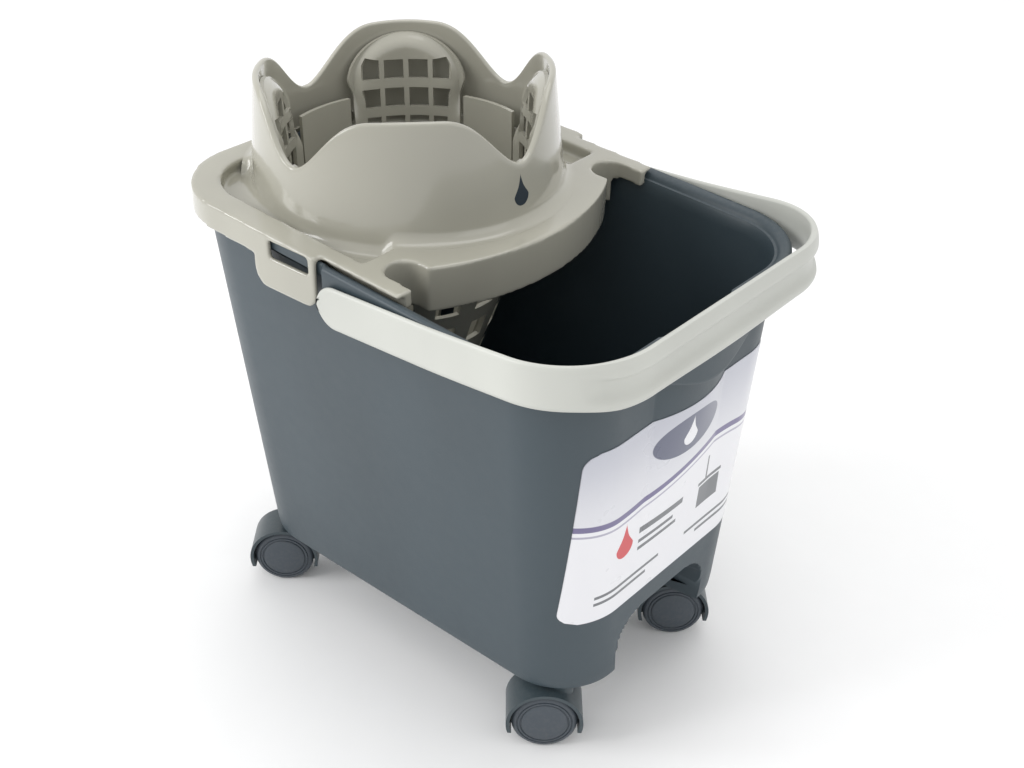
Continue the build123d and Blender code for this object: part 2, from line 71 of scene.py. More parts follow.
STEMS = {corner: box_middle("castor_stem_" + corner)[:2] for corner in CORNERS}
MIDDLE_X = float(np.mean([place[0] for place in STEMS.values()]))
CUP_X = float(box_middle("wringer_basket")[0])
PIVOT_Z = float(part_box("handle")[0][2] + 13 * MM)


# ---------------------------------------------------------------- sizes and colours


def size(name, description, millimetres):
    """A length, given in millimetres and held in metres."""
    return FloatProperty(name=name, description=description, default=millimetres * MM, precision=5, unit="LENGTH")


def turn(name, description, degrees):
    """An angle, given in degrees and held in radians."""
    return FloatProperty(name=name, description=description, default=math.radians(degrees), unit="ROTATION")


def share(name, description, value):
    """A number from 0 to 1."""
    return FloatProperty(name=name, description=description, default=value, min=0.0, max=1.0, subtype="FACTOR")


def colour(name, description, value):
    """A linear colour."""
    return FloatVectorProperty(name=name, description=description, default=value, size=3, min=0.0, max=1.0,
                               subtype="COLOR")


class BucketSizes(bpy.types.PropertyGroup):
    """Sizes of the bucket's shell, in the bucket's own plan with its middle at the origin."""

    base_length: size("Base length", "Outside length at the lower edge", 281.0)
    base_width: size("Base width", "Outside width at the lower edge", 172.0)
    base_radius: size("Base radius", "Corner radius at the lower edge", 41.0)
    base_z: size("Base height", "Lower edge of the walls above the floor", 48.0)
    top_length: size("Top length", "Outside length of the walls at the rim", 302.0)
    top_width: size("Top width", "Outside width of the walls at the rim", 218.0)
    top_radius: size("Top radius", "Corner radius at the rim", 44.0)
    top_offset: size("Top offset", "How far the mouth's middle lies towards the pouring end", 1.5)
    rim_z: size("Rim height", "Rim above the floor at the bucket's middle", 295.5)
    rim_slope: turn("Rim slope", "How far the mouth falls towards the pouring end", 3.7)
    wall: size("Wall", "Thickness of the walls", 2.8)
    floor_gap: size("Floor gap", "Recess under the bucket's bottom", 9.0)
    floor_thickness: size("Floor thickness", "Thickness of the bottom", 3.0)
    recess_wall: size("Recess wall", "Thickness of the foot round the recess", 3.4)
    rim_thickness: size("Rim thickness", "Thickness of the rim's flange", 3.0)
    rear_flange: size("Rear flange", "Overhang of the rim under the wringer", 4.0)
    rear_skirt: size("Rear skirt", "Height of the rim's skirt under the wringer", 8.0)
    front_flange: size("Front flange", "Overhang of the deep skirt round the front", 7.0)
    skirt_thickness: size("Skirt thickness", "Thickness of the rim's skirt", 2.5)
    skirt_z: size("Skirt height", "Lower edge of the deep skirt above the floor", 267.0)
    skirt_start: size("Skirt start", "Where the deep skirt begins, from the middle", -16.0)
    spout_reach: size("Lip reach", "How far the pouring lip stands out", 6.5)
    spout_half: size("Lip half width", "Half width of the pouring lip", 68.0)
    spout_z: size("Apron height", "Lowest point of the skirt under the pouring lip", 247.5)
    channel_reach: size("Channel reach", "How far the pouring channel bulges out", 8.5)
    channel_half: size("Channel half width", "Half width of the pouring channel", 34.0)
    channel_z: size("Channel foot", "Where the pouring channel has faded out", 110.0)
    arch_half: size("Arch half width", "Half width of the grip recess between the front feet", 41.5)
    arch_top: size("Arch top", "Top of the grip recess above the floor", 87.0)
    arch_radius: size("Arch radius", "Corner radius of the grip recess", 20.0)
    arch_depth: size("Arch depth", "Depth of the grip recess", 34.0)
    label_low: size("Label foot", "Lower edge of the label above the floor", 104.0)
    label_high: size("Label top", "Upper edge of the label above the floor", 229.0)
    label_half: size("Label half width", "Half width of the label, seen from the front", 84.0)
    label_radius: size("Label radius", "Corner radius of the label", 9.0)
    label_film: size("Label film", "Thickness of the label", 0.4)


class HandleSizes(bpy.types.PropertyGroup):
    """Sizes of the carrying handle."""

    inner_y: size("Inner half width", "Inside of the arms from the middle plane", 117.0)
    strap: size("Strap", "Thickness of the arms", 3.6)
    pivot_x: size("Pivot", "Pivot from the bucket's middle", -3.0)
    end_radius: size("End radius", "Half height of the arms at the pivots", 13.0)
    bend: size("Bend radius", "Inside radius of the two corners", 48.0)
    reach: size("Reach", "Pivot to the outside of the grip", 176.4)
    grip: size("Grip thickness", "Thickness of the grip", 5.4)
    tilt: turn("Tilt", "How far the folded handle rises to the front", 2.6)
    hollow: size("Hollow depth", "Depth of the long hollow in the grip's face", 3.2)


class WringerSizes(bpy.types.PropertyGroup):
    """Sizes of the wringer's frame, cup, basket and petals."""

    top_radius: size("Cup top radius", "Outside of the cup at its crest", 88.0)
    top_z: size("Cup top", "Height at which the cup has its top radius", 360.0)
    base_radius: size("Cup base radius", "Outside of the cup at its foot", 94.0)
    base_z: size("Cup base", "Height at which the cup has its base radius", 298.0)
    cup_wall: size("Cup wall", "Thickness of the cup's wall", 3.4)
    crest_peak: size("Crest peak", "Top of the four lobes", 365.5)
    crest_valley: size("Crest valley", "Lowest point between two lobes", 332.0)
    plate: size("Plate", "Thickness of the frame's sheet", 2.8)
    lip_top: size("Lip top", "Top of the frame's lip above the rim", 3.1)
    gutter: size("Gutter", "Gutter's floor below the rim", 4.2)
    lip_drop: size("Lip drop", "Lower edge of the lip below the rim", 13.0)
    deck_drop: size("Deck drop", "Lower edge of the deck's front wall below the rim", 25.0)
    guide_radius: size("Guide radius", "Inside of the basket's guide", 77.0)
    guide_wall: size("Guide wall", "Thickness of the guide", 2.6)
    guide_z: size("Guide foot", "Lower edge of the guide above the floor", 251.0)
    ring_top: size("Ring top", "Top of the basket's ring", 267.0)
    ring_height: size("Ring height", "Height of the basket's ring", 9.0)
    ring_radius: size("Ring radius", "Outside of the basket's ring", 76.6)
    cone_top: size("Cone top radius", "Outside of the cone under its ring", 71.0)
    cone_foot: size("Cone foot radius", "Outside of the cone at its foot", 27.0)
    cone_z: size("Cone foot", "Underside of the cone above the floor", 138.0)
    basket_wall: size("Basket wall", "Thickness of the basket", 2.6)
    panel_top: size("Panel top", "Top of the plain panels between the petals", 322.0)
    panel_angle: turn("Panel half angle", "Half of the angle that a plain panel covers", 15.5)
    petal_radius: size("Petal radius", "Outside of the petals", 76.0)
    petal_wall: size("Petal wall", "Thickness of the petals", 2.6)
    petal_low: size("Petal foot", "Root of the petals above the floor", 268.5)
    petal_shoulder: size("Petal shoulder", "Where a petal starts to round off", 328.0)
    petal_top: size("Petal top", "Top of the petals", 359.0)
    petal_half: size("Petal half width", "Half width of a petal", 34.5)
    petal_flange: size("Petal flange", "How far a petal's border is turned out", 6.0)
    cone_rows: IntProperty(name="Cone rows", description="Rows of holes in the cone", default=4, min=1)
    cone_holes: IntProperty(name="Cone holes", description="Holes in each row of the cone", default=14, min=3)


class CastorSizes(bpy.types.PropertyGroup):
    """Sizes of the four castors."""

    heading: turn("Heading", "Direction in which the wheels trail behind the stem", 221.0)
    trail: size("Trail", "Stem's axis to the axle", 10.0)
    wheel_radius: size("Wheel radius", "Outside of the wheels", 20.0)
    wheel_width: size("Wheel width", "Width of one wheel", 8.0)
    wheel_dish: size("Wheel dome", "Rise of the wheel's face", 1.6)
    web: size("Web", "Thickness of the hood's middle web", 10.0)
    web_gap: size("Web gap", "Between a wheel and the web", 0.5)
    hood_gap: size("Hood gap", "Between the wheels and the hood", 1.3)
    hood_wall: size("Hood wall", "Thickness of the hood", 2.2)
    hood_wrap: turn("Hood wrap", "How far the hood's tips reach below the axle", 18.0)
    hub_radius: size("Hub radius", "Radius of the stem's hub", 7.5)
    hub_top: size("Hub top", "Top of the stem's hub above the floor", 46.4)
    stem_radius: size("Stem radius", "Radius of the steel stem", 3.5)
    boss_radius: size("Boss radius", "Radius of the socket in the bucket", 9.0)
    boss_gap: size("Boss gap", "Between the hub and the socket", 0.4)
    boss_top: size("Boss top", "Top of the socket's dome above the floor", 70.0)


class Finishes(bpy.types.PropertyGroup):
    """Colours and roughness of the materials."""

    anthracite: colour("Bucket", "Moulded anthracite of the bucket", (0.042, 0.061, 0.074))
    cream: colour("Wringer", "Warm cream of the wringer", (0.40, 0.39, 0.33))
    ivory: colour("Handle", "Off-white of the handle", (0.55, 0.56, 0.52))
    nylon: colour("Castor hood", "Dark grey of the castor hoods", (0.042, 0.060, 0.070))
    tread: colour("Wheels", "Dark grey of the wheels", (0.058, 0.072, 0.088))
    steel: colour("Steel", "Zinc-plated steel", (0.60, 0.60, 0.58))
    paper: colour("Label", "Pale ground of the label", (0.80, 0.80, 0.83))
    wash: colour("Label wash", "Grey-lavender of the label's upper part", (0.50, 0.51, 0.57))
    wave: colour("Label wave", "Violet line across the label", (0.16, 0.14, 0.27))
    accent: colour("Label accent", "Red of the droplet", (0.60, 0.05, 0.06))
    ink: colour("Ink", "Dark print", (0.035, 0.045, 0.055))
    satin: share("Bucket roughness", "Roughness of the bucket", 0.42)
    gloss: share("Wringer roughness", "Roughness of the wringer", 0.18)


# ---------------------------------------------------------------- mesh helpers


def lerp(low, high, share_of):
    """A value part of the way from low to high."""
    return low + (high - low) * share_of


def smooth(value):
    """Smoothstep: 0 below 0, 1 above 1, with level ends."""
    value = np.clip(value, 0.0, 1.0)
    return value * value * (3 - 2 * value)


def grid_faces(rows, columns, close_columns=False, close_rows=False, first=0):
    """Quads between neighbouring rows and columns of a grid numbered row by row."""
    index = first + np.arange(rows * columns).reshape(rows, columns)
    if close_rows:
        index = np.vstack([index, index[:1]])
    if close_columns:
        index = np.hstack([index, index[:, :1]])
    corners = (index[:-1, :-1], index[:-1, 1:], index[1:, 1:], index[1:, :-1])
    return np.stack(corners, axis=-1).reshape(-1, 4)


def make_piece(name, points, faces, body, node=None, material=None, creases=38, turn_out=True, at_bucket=True):
    """A mesh from points and quads: doubles merged, faces turned outwards, shaded smooth between creases."""
    points = np.asarray(points, dtype=float).reshape(-1, 3)
    if at_bucket:
        points = points + (MIDDLE_X, 0, 0)
    mesh = bpy.data.meshes.new(name)
    mesh.from_pydata(points.tolist(), [], faces if isinstance(faces, list) else faces.tolist())
    shape = bmesh.new()
    shape.from_mesh(mesh)
    bmesh.ops.remove_doubles(shape, verts=shape.verts, dist=2e-6)
    if turn_out:
        bmesh.ops.recalc_face_normals(shape, faces=shape.faces)
    shape.to_mesh(mesh)
    shape.free()
    return place_piece(mesh, name, body, node, material, creases)


def place_piece(mesh, name, body, node=None, material=None, creases=38):
    """An object for a mesh, riding its body and standing for its CAD node."""
    mesh.shade_smooth()
    mesh.set_sharp_from_angle(angle=math.radians(creases))
    piece = bpy.data.objects.new(name, mesh)
    bpy.context.scene.collection.objects.link(piece)
    if material:
        mesh.materials.append(material)
    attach(piece, body)
    if node:
        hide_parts(node)
    return piece


def lathe(profile, centre, columns=64, axis=None):
    """A profile of (radius, height) pairs turned about an axis through centre; axis is (side, up) or upright."""
    profile = np.asarray(profile, dtype=float)
    angle = np.linspace(0, 2 * math.pi, columns, endpoint=False)
    radius = profile[:, 0][:, None]
    height = np.broadcast_to(profile[:, 1][:, None], (len(profile), columns))
    first, second, along = axis or (Vector((1, 0, 0)), Vector((0, 1, 0)), Vector((0, 0, 1)))
    points = (np.asarray(centre) + (radius * np.cos(angle))[..., None] * np.array(first)
              + (radius * np.sin(angle))[..., None] * np.array(second) + height[..., None] * np.array(along))
    return points


def bevelled_copy(node, body, material, width, creases=38, segments=3, name=None):
    """A merged copy of a CAD node's mesh whose edges are rounded by a bevel."""
    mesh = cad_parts[node].data.copy()
    mesh.name = name or node + "_finish"
    mesh.materials.clear()
    shape = bmesh.new()
    shape.from_mesh(mesh)
    bmesh.ops.remove_doubles(shape, verts=shape.verts, dist=5e-6)
    flat = [edge for edge in shape.edges if len(edge.link_faces) == 2 and edge.calc_face_angle(0) < math.radians(0.6)]
    bmesh.ops.dissolve_limit(shape, angle_limit=math.radians(0.6), verts=shape.verts, edges=flat)
    shape.to_mesh(mesh)
    shape.free()
    piece = place_piece(mesh, name or node + "_finish", body, node, material, creases)
    bevel = piece.modifiers.new("Rounded edges", "BEVEL")
    bevel.width = width
    bevel.segments = segments
    bevel.limit_method = "ANGLE"
    bevel.angle_limit = math.radians(creases)
    bevel.use_clamp_overlap = True
    bevel.harden_normals = True
    return piece


# ---------------------------------------------------------------- the bucket's surfaces


class Plan:
    """Columns that go once round a rounded rectangle: each has an angle and a share of the length and width."""

    def __init__(self):
        side = np.concatenate([np.linspace(0, 0.38, 12), np.linspace(0.39, 0.50, 30), np.linspace(0.52, 1, 14)])
        bend = np.linspace(0, 1, 25)[1:-1]
        front = np.concatenate([np.linspace(0, 0.2, 10, endpoint=False), np.linspace(0.2, 0.8, 110),
                                np.linspace(0.8, 1, 11)[1:]])
        rear = np.linspace(0, 1, 26)
        parts = [(-90 + 0 * side, side, 0 * side), (-90 + 90 * bend, 1 + 0 * bend, 0 * bend),
                 (0 * front, 1 + 0 * front, front), (90 * bend, 1 + 0 * bend, 1 + 0 * bend),
                 (90 + 0 * side, side[::-1], 1 + 0 * side), (90 + 90 * bend, 0 * bend, 1 + 0 * bend),
                 (180 + 0 * rear, 0 * rear, rear[::-1]), (180 + 90 * bend, 0 * bend, 0 * bend)]
        self.angle = np.radians(np.concatenate([part[0] for part in parts]))
        self.along = np.concatenate([part[1] for part in parts])
        self.across = np.concatenate([part[2] for part in parts])

    def ring(self, rear, front, half, radius, grow=0.0):
        """Plan points of a rounded rectangle that is offset outwards by grow."""
        rear, front, half, radius = rear - grow, front + grow, half + grow, np.maximum(radius + grow, 1e-4)
        x = lerp(rear + radius, front - radius, self.along) + radius * np.cos(self.angle)
        y = lerp(-(half - radius), half - radius, self.across) + radius * np.sin(self.angle)
        return np.stack([x, y, 0 * x], axis=-1)


class Shell:
    """The bucket's wall: straight lines from the lower ring to the ring in the tilted mouth plane."""

    def __init__(self, sizes):
        self.sizes = sizes
        self.plan = Plan()
        self.slope = sizes.rim_slope

    def in_mouth(self, ring, lift=0.0):
        """A plan ring laid in the mouth's plane, lifted square to it."""
        x, y = ring[:, 0], ring[:, 1]
        up = np.array((math.sin(self.slope), 0, math.cos(self.slope)))
        flat = np.stack([x * math.cos(self.slope), y, self.sizes.rim_z - x * math.sin(self.slope)], axis=-1)
        return flat + up * lift

    def base_ring(self, grow=0.0):
        s = self.sizes
        return self.plan.ring(-s.base_length / 2, s.base_length / 2, s.base_width / 2, s.base_radius, grow)

    def top_ring(self, grow=0.0):
        s = self.sizes
        rear, front = s.top_offset - s.top_length / 2, s.top_offset + s.top_length / 2
        return self.plan.ring(rear, front, s.top_width / 2, s.top_radius, grow)

    def bulges(self, points, inside=False):
        """Channel under the pouring lip and the grip recess between the front feet, as moves along X."""
        s = self.sizes
        y, z = np.abs(points[:, 1]), points[:, 2]
        front = (points[:, 0] > 0.1).astype(float)
        fade = smooth((z - s.channel_z) / (s.rim_z - s.channel_z) * 1.15)
        bulge = s.channel_reach * fade * np.clip(1 - (y / s.channel_half) ** 2, 0, None)
        margin = s.wall if inside else 0.0
        half, top, radius = s.arch_half + margin, s.arch_top + margin, s.arch_radius + margin
        across, high = y - (half - radius), z - (top - radius)
        outside = np.hypot(np.clip(across, 0, None), np.clip(high, 0, None)) + np.minimum(np.maximum(across, high), 0)
        recess = s.arch_depth * smooth(0.5 - (outside - radius) / (3.0 * MM))
        depth_here = recess - margin * (recess > 0)
        moved = points.copy()
        moved[:, 0] += front * (bulge - np.where(inside, recess, depth_here * 1.0))
        return moved

    def wall(self, share_up, grow=0.0, inside=False, low_z=None):
        """The wall's ring a share of the way up, offset outwards by grow."""
        base = self.base_ring(grow)
        base[:, 2] = self.sizes.base_z if low_z is None else low_z
        top = self.in_mouth(self.top_ring(grow))
        start = self.base_ring(grow)
        start[:, 2] = self.sizes.base_z
        return self.bulges(lerp(start, top, share_up), inside)

    def flange(self, ring_grow, lift, skirt=True):
        """A ring of the rim: offset from the top ring, wider round the front and over the pouring lip."""
        s = self.sizes
        top = self.top_ring()
        deep = smooth((top[:, 0] - s.skirt_start) / (1.2 * MM) + 0.5)
        over = lerp(s.rear_flange, s.front_flange, deep)
        ring = self.plan_offset(np.minimum(over + ring_grow, over) if ring_grow <= 0 else over)
        lip = s.spout_reach * np.cos(np.clip(np.abs(ring[:, 1]) / s.spout_half, 0, 1) * math.pi / 2) ** 2
        ring[:, 0] += lip * (ring[:, 0] > 0.1)
        return self.in_mouth(ring, lift), deep

    def plan_offset(self, grow):
        """The top ring offset by a different amount in each column."""
        s = self.sizes
        near, far = self.top_ring(0.0), self.top_ring(1.0 * MM)
        return near + (far - near) * (np.asarray(grow) / (1.0 * MM))[..., None]


def bucket_rows(shell):
    """Closed run of rings: floor, inner wall, rim, skirt, outer wall, foot and underside."""
    s = shell.sizes
    floor_top = s.base_z + s.floor_gap + s.floor_thickness
    floor_low = s.base_z + s.floor_gap
    height = s.rim_z - s.base_z
    rows = []
    start = (floor_top - s.base_z) / height
    inner = [shell.wall(share_up, -s.wall, True) for share_up in
             np.concatenate([np.linspace(start + 0.03, 0.2, 22), np.linspace(0.215, 0.975, 26)])]
    foot = shell.wall(start + 0.005, -s.wall, True)
    centre = np.array((0, 0, floor_top))
    for part in (0.0, 0.3, 0.6, 0.85):
        ring = centre + (foot - centre) * part
        ring[:, 2] = floor_top
        rows.append(ring)
    for part in np.linspace(0, 1, 5):
        turn_by = part * math.pi / 2
        pull = 6 * MM * (1 - math.sin(turn_by))
        ring = shell.wall(start + 0.005 + 0.02 * (1 - math.cos(turn_by)), -s.wall - pull, True)
        ring[:, 2] = floor_top + 6 * MM * (1 - math.cos(turn_by))
        rows.append(ring)
    rows += inner
    over = lerp(s.rear_flange, s.front_flange,
                smooth((shell.top_ring()[:, 0] - s.skirt_start) / (3 * MM) + 0.5))
    deep = smooth((shell.top_ring()[:, 0] - s.skirt_start) / (3 * MM) + 0.5)
    wall_in = shell.wall(1.0, -s.wall, True)
    lip_ring = shell.plan_offset(0 * over)
    half_lip = np.clip(np.abs(lip_ring[:, 1]) / s.spout_half, 0, 1)
    front = (lip_ring[:, 0] > 0.1).astype(float)
    lip = s.spout_reach * np.cos(half_lip * math.pi / 2) ** 2 * front

    def rim(grow, lift, fixed=None):
        """A ring of the rim at an offset and a lift; grow runs from the wall (0) to the flange's edge (1)."""
        ring = shell.plan_offset(grow)
        ring[:, 0] += lip
        return shell.in_mouth(ring, lift)

    inner_edge = wall_in - np.array((math.sin(shell.slope), 0, math.cos(shell.slope))) * 5.2 * MM
    rows.append(inner_edge)
    channel = shell.bulges(shell.in_mouth(shell.top_ring())) - shell.in_mouth(shell.top_ring())

    def near_wall(grow, lift):
        """A ring near the wall, which follows the pouring channel."""
        return shell.in_mouth(shell.plan_offset(grow + 0 * over), lift) + channel

    rows.append(near_wall(-s.wall + 0.2 * MM, -4.6 * MM))
    rows.append(near_wall(-s.wall + 1.6 * MM, -4.3 * MM))
    rows.append(near_wall(-s.wall + 1.9 * MM, -4.0 * MM))
    rows.append(near_wall(-s.wall + 2.2 * MM, -3.2 * MM))
    rows.append(lerp(near_wall(-s.wall + 2.2 * MM, -2.0 * MM), rim(over * 0.35, -0.9 * MM), 0.45))
    for part, lift in ((0.45, -0.35), (0.62, 0.0), (0.78, -0.1), (0.9, -0.55), (0.975, -1.3), (1.0, -2.4)):
        rows.append(rim(over * part, lift * MM))
    apron = smooth(1 - np.abs(lip_ring[:, 1]) / s.spout_half) * front
    low = lerp(s.skirt_z, s.spout_z, apron)
    edge = rim(over, -3 * MM)
    bottom = lerp(edge[:, 2] - (s.rear_skirt - 3 * MM), low, deep)
    bottom = np.minimum(bottom, edge[:, 2] - 2 * MM)
    for part in (0.1, 0.4, 0.7, 0.92):
        ring = edge.copy()
        ring[:, 2] = lerp(edge[:, 2], bottom, part)
        rows.append(ring)
    for part in np.linspace(0, 1, 5):
        ring = rim(over - s.skirt_thickness * (0.5 - 0.5 * math.cos(part * math.pi)), -3 * MM)
        ring[:, 2] = bottom - 0.0 + 1.2 * MM * (1 - math.sin(part * math.pi))
        rows.append(ring)
    inside = rim(over - s.skirt_thickness, -3 * MM)
    for part in (0.75, 0.3, 0.0):
        ring = inside.copy()
        ring[:, 2] = lerp(inside[:, 2], bottom, part)
        rows.append(ring)
    rows.append(near_wall(0.3 * MM, -3.2 * MM))
    shares = np.concatenate([np.linspace(0.985, 0.215, 30), np.linspace(0.205, 0.03, 40)])
    rows += [shell.wall(share_up) for share_up in shares]
    for part in np.linspace(0, 1, 4):
        ring = shell.wall(0.0, -1.7 * MM * (1 - math.cos(part * math.pi / 2)))
        ring[:, 2] = s.base_z + 3 * MM * (1 - math.sin(part * math.pi / 2))
        rows.append(ring)
    for deep_in, level in ((s.recess_wall, s.base_z), (s.recess_wall + 0.4 * MM, s.base_z + 1 * MM),
                           (s.recess_wall + 0.4 * MM, floor_low)):
        ring = shell.wall(0.0, -deep_in)
        ring[:, 2] = level
        rows.append(ring)
    under = rows[-1]
    centre = np.array((0, 0, floor_low))
    for part in (0.6, 0.0):
        ring = centre + (under - centre) * part
        ring[:, 2] = floor_low
        rows.append(ring)
    return np.array(rows)


def socket_profile(castors, lower, upper, wall_below):
    """Profile of a castor's socket: a round boss under the bottom and a low dome above it."""
    radius = castors.boss_radius
    return [(0, lower), (castors.stem_radius, lower), (radius - 1 * MM, lower), (radius, lower + 1 * MM),
            (radius, upper - 3 * MM), (radius - 1 * MM, upper - 1 * MM), (radius - 3 * MM, upper), (0, upper)]


class BucketShell(bpy.types.Operator):
    """Builds the bucket's shell, with its rolled rim, deep skirt, pouring channel and grip recess"""

    bl_idname = "mop_bucket.shell"
    bl_label = "Bucket shell"

    def execute(self, context):
        sizes, castors = context.scene.bucket_sizes, context.scene.castor_sizes
        rows = bucket_rows(Shell(sizes))
        count, columns = rows.shape[:2]
        points = [rows.reshape(-1, 3)]
        faces = [grid_faces(count, columns, close_columns=True)]
        first = count * columns
        for place in STEMS.values():
            profile = socket_profile(castors, castors.hub_top + castors.boss_gap, castors.boss_top, 0)
            ring = lathe(profile, (place[0] - MIDDLE_X, place[1], 0), 40)
            points.append(ring.reshape(-1, 3))
            faces.append(grid_faces(len(profile), 40, close_columns=True, first=first))
            first += len(profile) * 40
        make_piece("bucket_shell", np.concatenate(points), np.concatenate(faces), "bucket",
                   "bucket_body", bucket_material(context.scene.finishes), 32)
        return {"FINISHED"}


class BucketLabel(bpy.types.Operator):
    """Lays the printed label over the front wall, round the pouring channel and both corners"""

    bl_idname = "mop_bucket.label"
    bl_label = "Front label"

    def execute(self, context):
        sizes = context.scene.bucket_sizes
        shell = Shell(sizes)
        heights = np.linspace(sizes.label_low, sizes.label_high, 61)
        across = np.linspace(-1, 1, 141)
        rows = []
        top_z = sizes.rim_z - (sizes.top_length / 2) * math.tan(sizes.rim_slope)
        for height in heights:
            share_up = (height - sizes.base_z) / (top_z - sizes.base_z)
            ring = shell.wall(share_up, sizes.label_film)
            chosen = ring[(ring[:, 0] > 0.05)]
            order = np.argsort(chosen[:, 1])
            chosen = chosen[order]
            edge = min(height - sizes.label_low, sizes.label_high - height)
            cut = max(sizes.label_radius - edge, 0)
            inset = sizes.label_radius - math.sqrt(max(sizes.label_radius ** 2 - cut ** 2, 0))
            y = across * (sizes.label_half - inset)
            x = np.interp(y, chosen[:, 1], chosen[:, 0])
            rows.append(np.stack([x, y, height + 0 * y], axis=-1))
        rows = np.array(rows)
        back = rows - (sizes.label_film * 0.9, 0, 0)
        loop = np.concatenate([rows, back[::-1]])
        faces = grid_faces(len(loop), len(across), close_rows=True)
        piece = make_piece("front_label_film", loop, faces, "bucket", "front_label",
                           label_material(context.scene.finishes, sizes), 60)
        return {"FINISHED"}


# ---------------------------------------------------------------- the handle's surface


def handle_rows(sizes):
    """A section carried along the handle's U: straps at the sides, the hollowed grip across the front."""
    middle = sizes.inner_y + sizes.strap / 2
    bend = sizes.bend + sizes.strap / 2
    front = sizes.reach - sizes.grip / 2
    straight = np.concatenate([-sizes.end_radius * np.cos(np.linspace(0, math.pi / 2, 13)),
                               np.linspace(0, front - bend, 34)[1:]])
    turn_by = np.radians(np.linspace(0, 90, 31)[1:])
    cross = np.linspace(-(middle - bend), middle - bend, 81)[1:]
    near = np.stack([straight, 0 * straight - middle], axis=-1)
    corner = np.stack([front - bend + bend * np.sin(turn_by), -middle + bend - bend * np.cos(turn_by)], axis=-1)
    grip = np.stack([0 * cross + front, cross], axis=-1)
    half = np.concatenate([near, corner, grip[:39]])
    path = np.concatenate([half, [[front, 0.0]], half[::-1] * (1, -1)])
    step = np.gradient(path, axis=0)
    step = step / np.linalg.norm(step, axis=1)[:, None]
    outward = np.stack([step[:, 1], -step[:, 0]], axis=-1)
    return path, outward


class CarryingHandle(bpy.types.Operator):
    """Builds the folding handle with its straps, hollowed grip and pegs"""

    bl_idname = "mop_bucket.handle"
    bl_label = "Carrying handle"

    def execute(self, context):
        sizes = context.scene.handle_sizes
        path, outward = handle_rows(sizes)
        along, across = path[:, 0], np.abs(path[:, 1])
        end = np.clip(-along / sizes.end_radius, 0, 1)
        round_off = np.sqrt(np.clip(1 - end ** 2, 0, None))
        to_grip = smooth((along - 60 * MM) / (100 * MM))
        top = lerp(12.8, 15.6, to_grip) * MM * round_off
        low = -lerp(12.8, 10.2, to_grip) * MM * round_off
        in_grip = smooth((110 * MM - across) / (24 * MM)) * (along > 100 * MM)
        low = lerp(low, -12.2 * MM - 1.4 * MM * np.cos(across / (76 * MM) * math.pi / 2) ** 2, in_grip)
        grip_out = sizes.grip / 2
        section = []
        hollow = sizes.hollow * smooth((106 * MM - across) / (10 * MM)) * (along > 100 * MM)
        face = sizes.strap / 2 + (grip_out - sizes.strap / 2) * in_grip
        back = -sizes.strap / 2 + (-0.9 * MM) * in_grip
        shapes = [(back, top - 1.4 * MM), (back * 0.7, top - 0.5 * MM), (back * 0.1, top), (face * 0.45, top - 0.15 * MM),
                  (face * 0.8, top - 0.8 * MM - 2.0 * MM * in_grip), (face, top - 2.0 * MM - 4.2 * MM * in_grip),
                  (face, top - 3.4 * MM - 4.6 * MM * in_grip), (face - hollow * 0.1, lerp(top * 0.62, 6.6 * MM, in_grip)),
                  (face - hollow * 0.7, lerp(top * 0.45, 5.8 * MM, in_grip)), (face - hollow * 0.95, 4.0 * MM),
                  (face - hollow, 0.8 * MM), (face - hollow * 0.92, lerp(low * 0.3, -3.2 * MM, in_grip)),
                  (face - hollow * 0.55, lerp(low * 0.4, -5.4 * MM, in_grip)),
                  (face - hollow * 0.08, lerp(low * 0.5, -6.8 * MM, in_grip)), (face, low + 3.8 * MM),
                  (face * 0.9, low + 2.4 * MM), (face * 0.55, low + 0.7 * MM), (0 * face, low),
                  (back * 0.6, low + 0.35 * MM), (back, low + 1.5 * MM), (back, low * 0.4), (back, top * 0.4)]
        turned = []
        for out, high in shapes:
            out = out + 0 * top
            high = np.where(end > 0, np.clip(high, low, top), high)
            turned.append(np.stack([path[:, 0] + outward[:, 0] * out, path[:, 1] + outward[:, 1] * out, high], axis=-1))
        grid = np.array(turned)
        count, columns = grid.shape[:2]
        points = [grid.reshape(-1, 3)]
        faces = [grid_faces(count, columns, close_rows=True)]
        first = count * columns
        for side in (-1, 1):
            profile = [(0, 7.5), (3.2, 7.5), (4.0, 6.7), (4.0, 0), (0, 0)]
            peg = lathe(np.array(profile) * MM, (0, 0, 0), 28)
            peg = np.stack([peg[..., 0], side * (sizes.inner_y + 0.5 * MM - peg[..., 2]), peg[..., 1]], axis=-1)
            points.append(peg.reshape(-1, 3))
            faces.append(grid_faces(len(profile), 28, close_columns=True, first=first))
            first += len(profile) * 28
        points = np.concatenate(points)
        cosine, sine = math.cos(sizes.tilt), math.sin(sizes.tilt)
        x, z = points[:, 0] * cosine - points[:, 2] * sine, points[:, 2] * cosine + points[:, 0] * sine
        points = np.stack([x + sizes.pivot_x, points[:, 1], z + PIVOT_Z], axis=-1)
        make_piece("carrying_handle", points, np.concatenate(faces), "handle", "handle",
                   handle_material(context.scene.finishes), 50)
        return {"FINISHED"}


# ---------------------------------------------------------------- the wringer and its basket


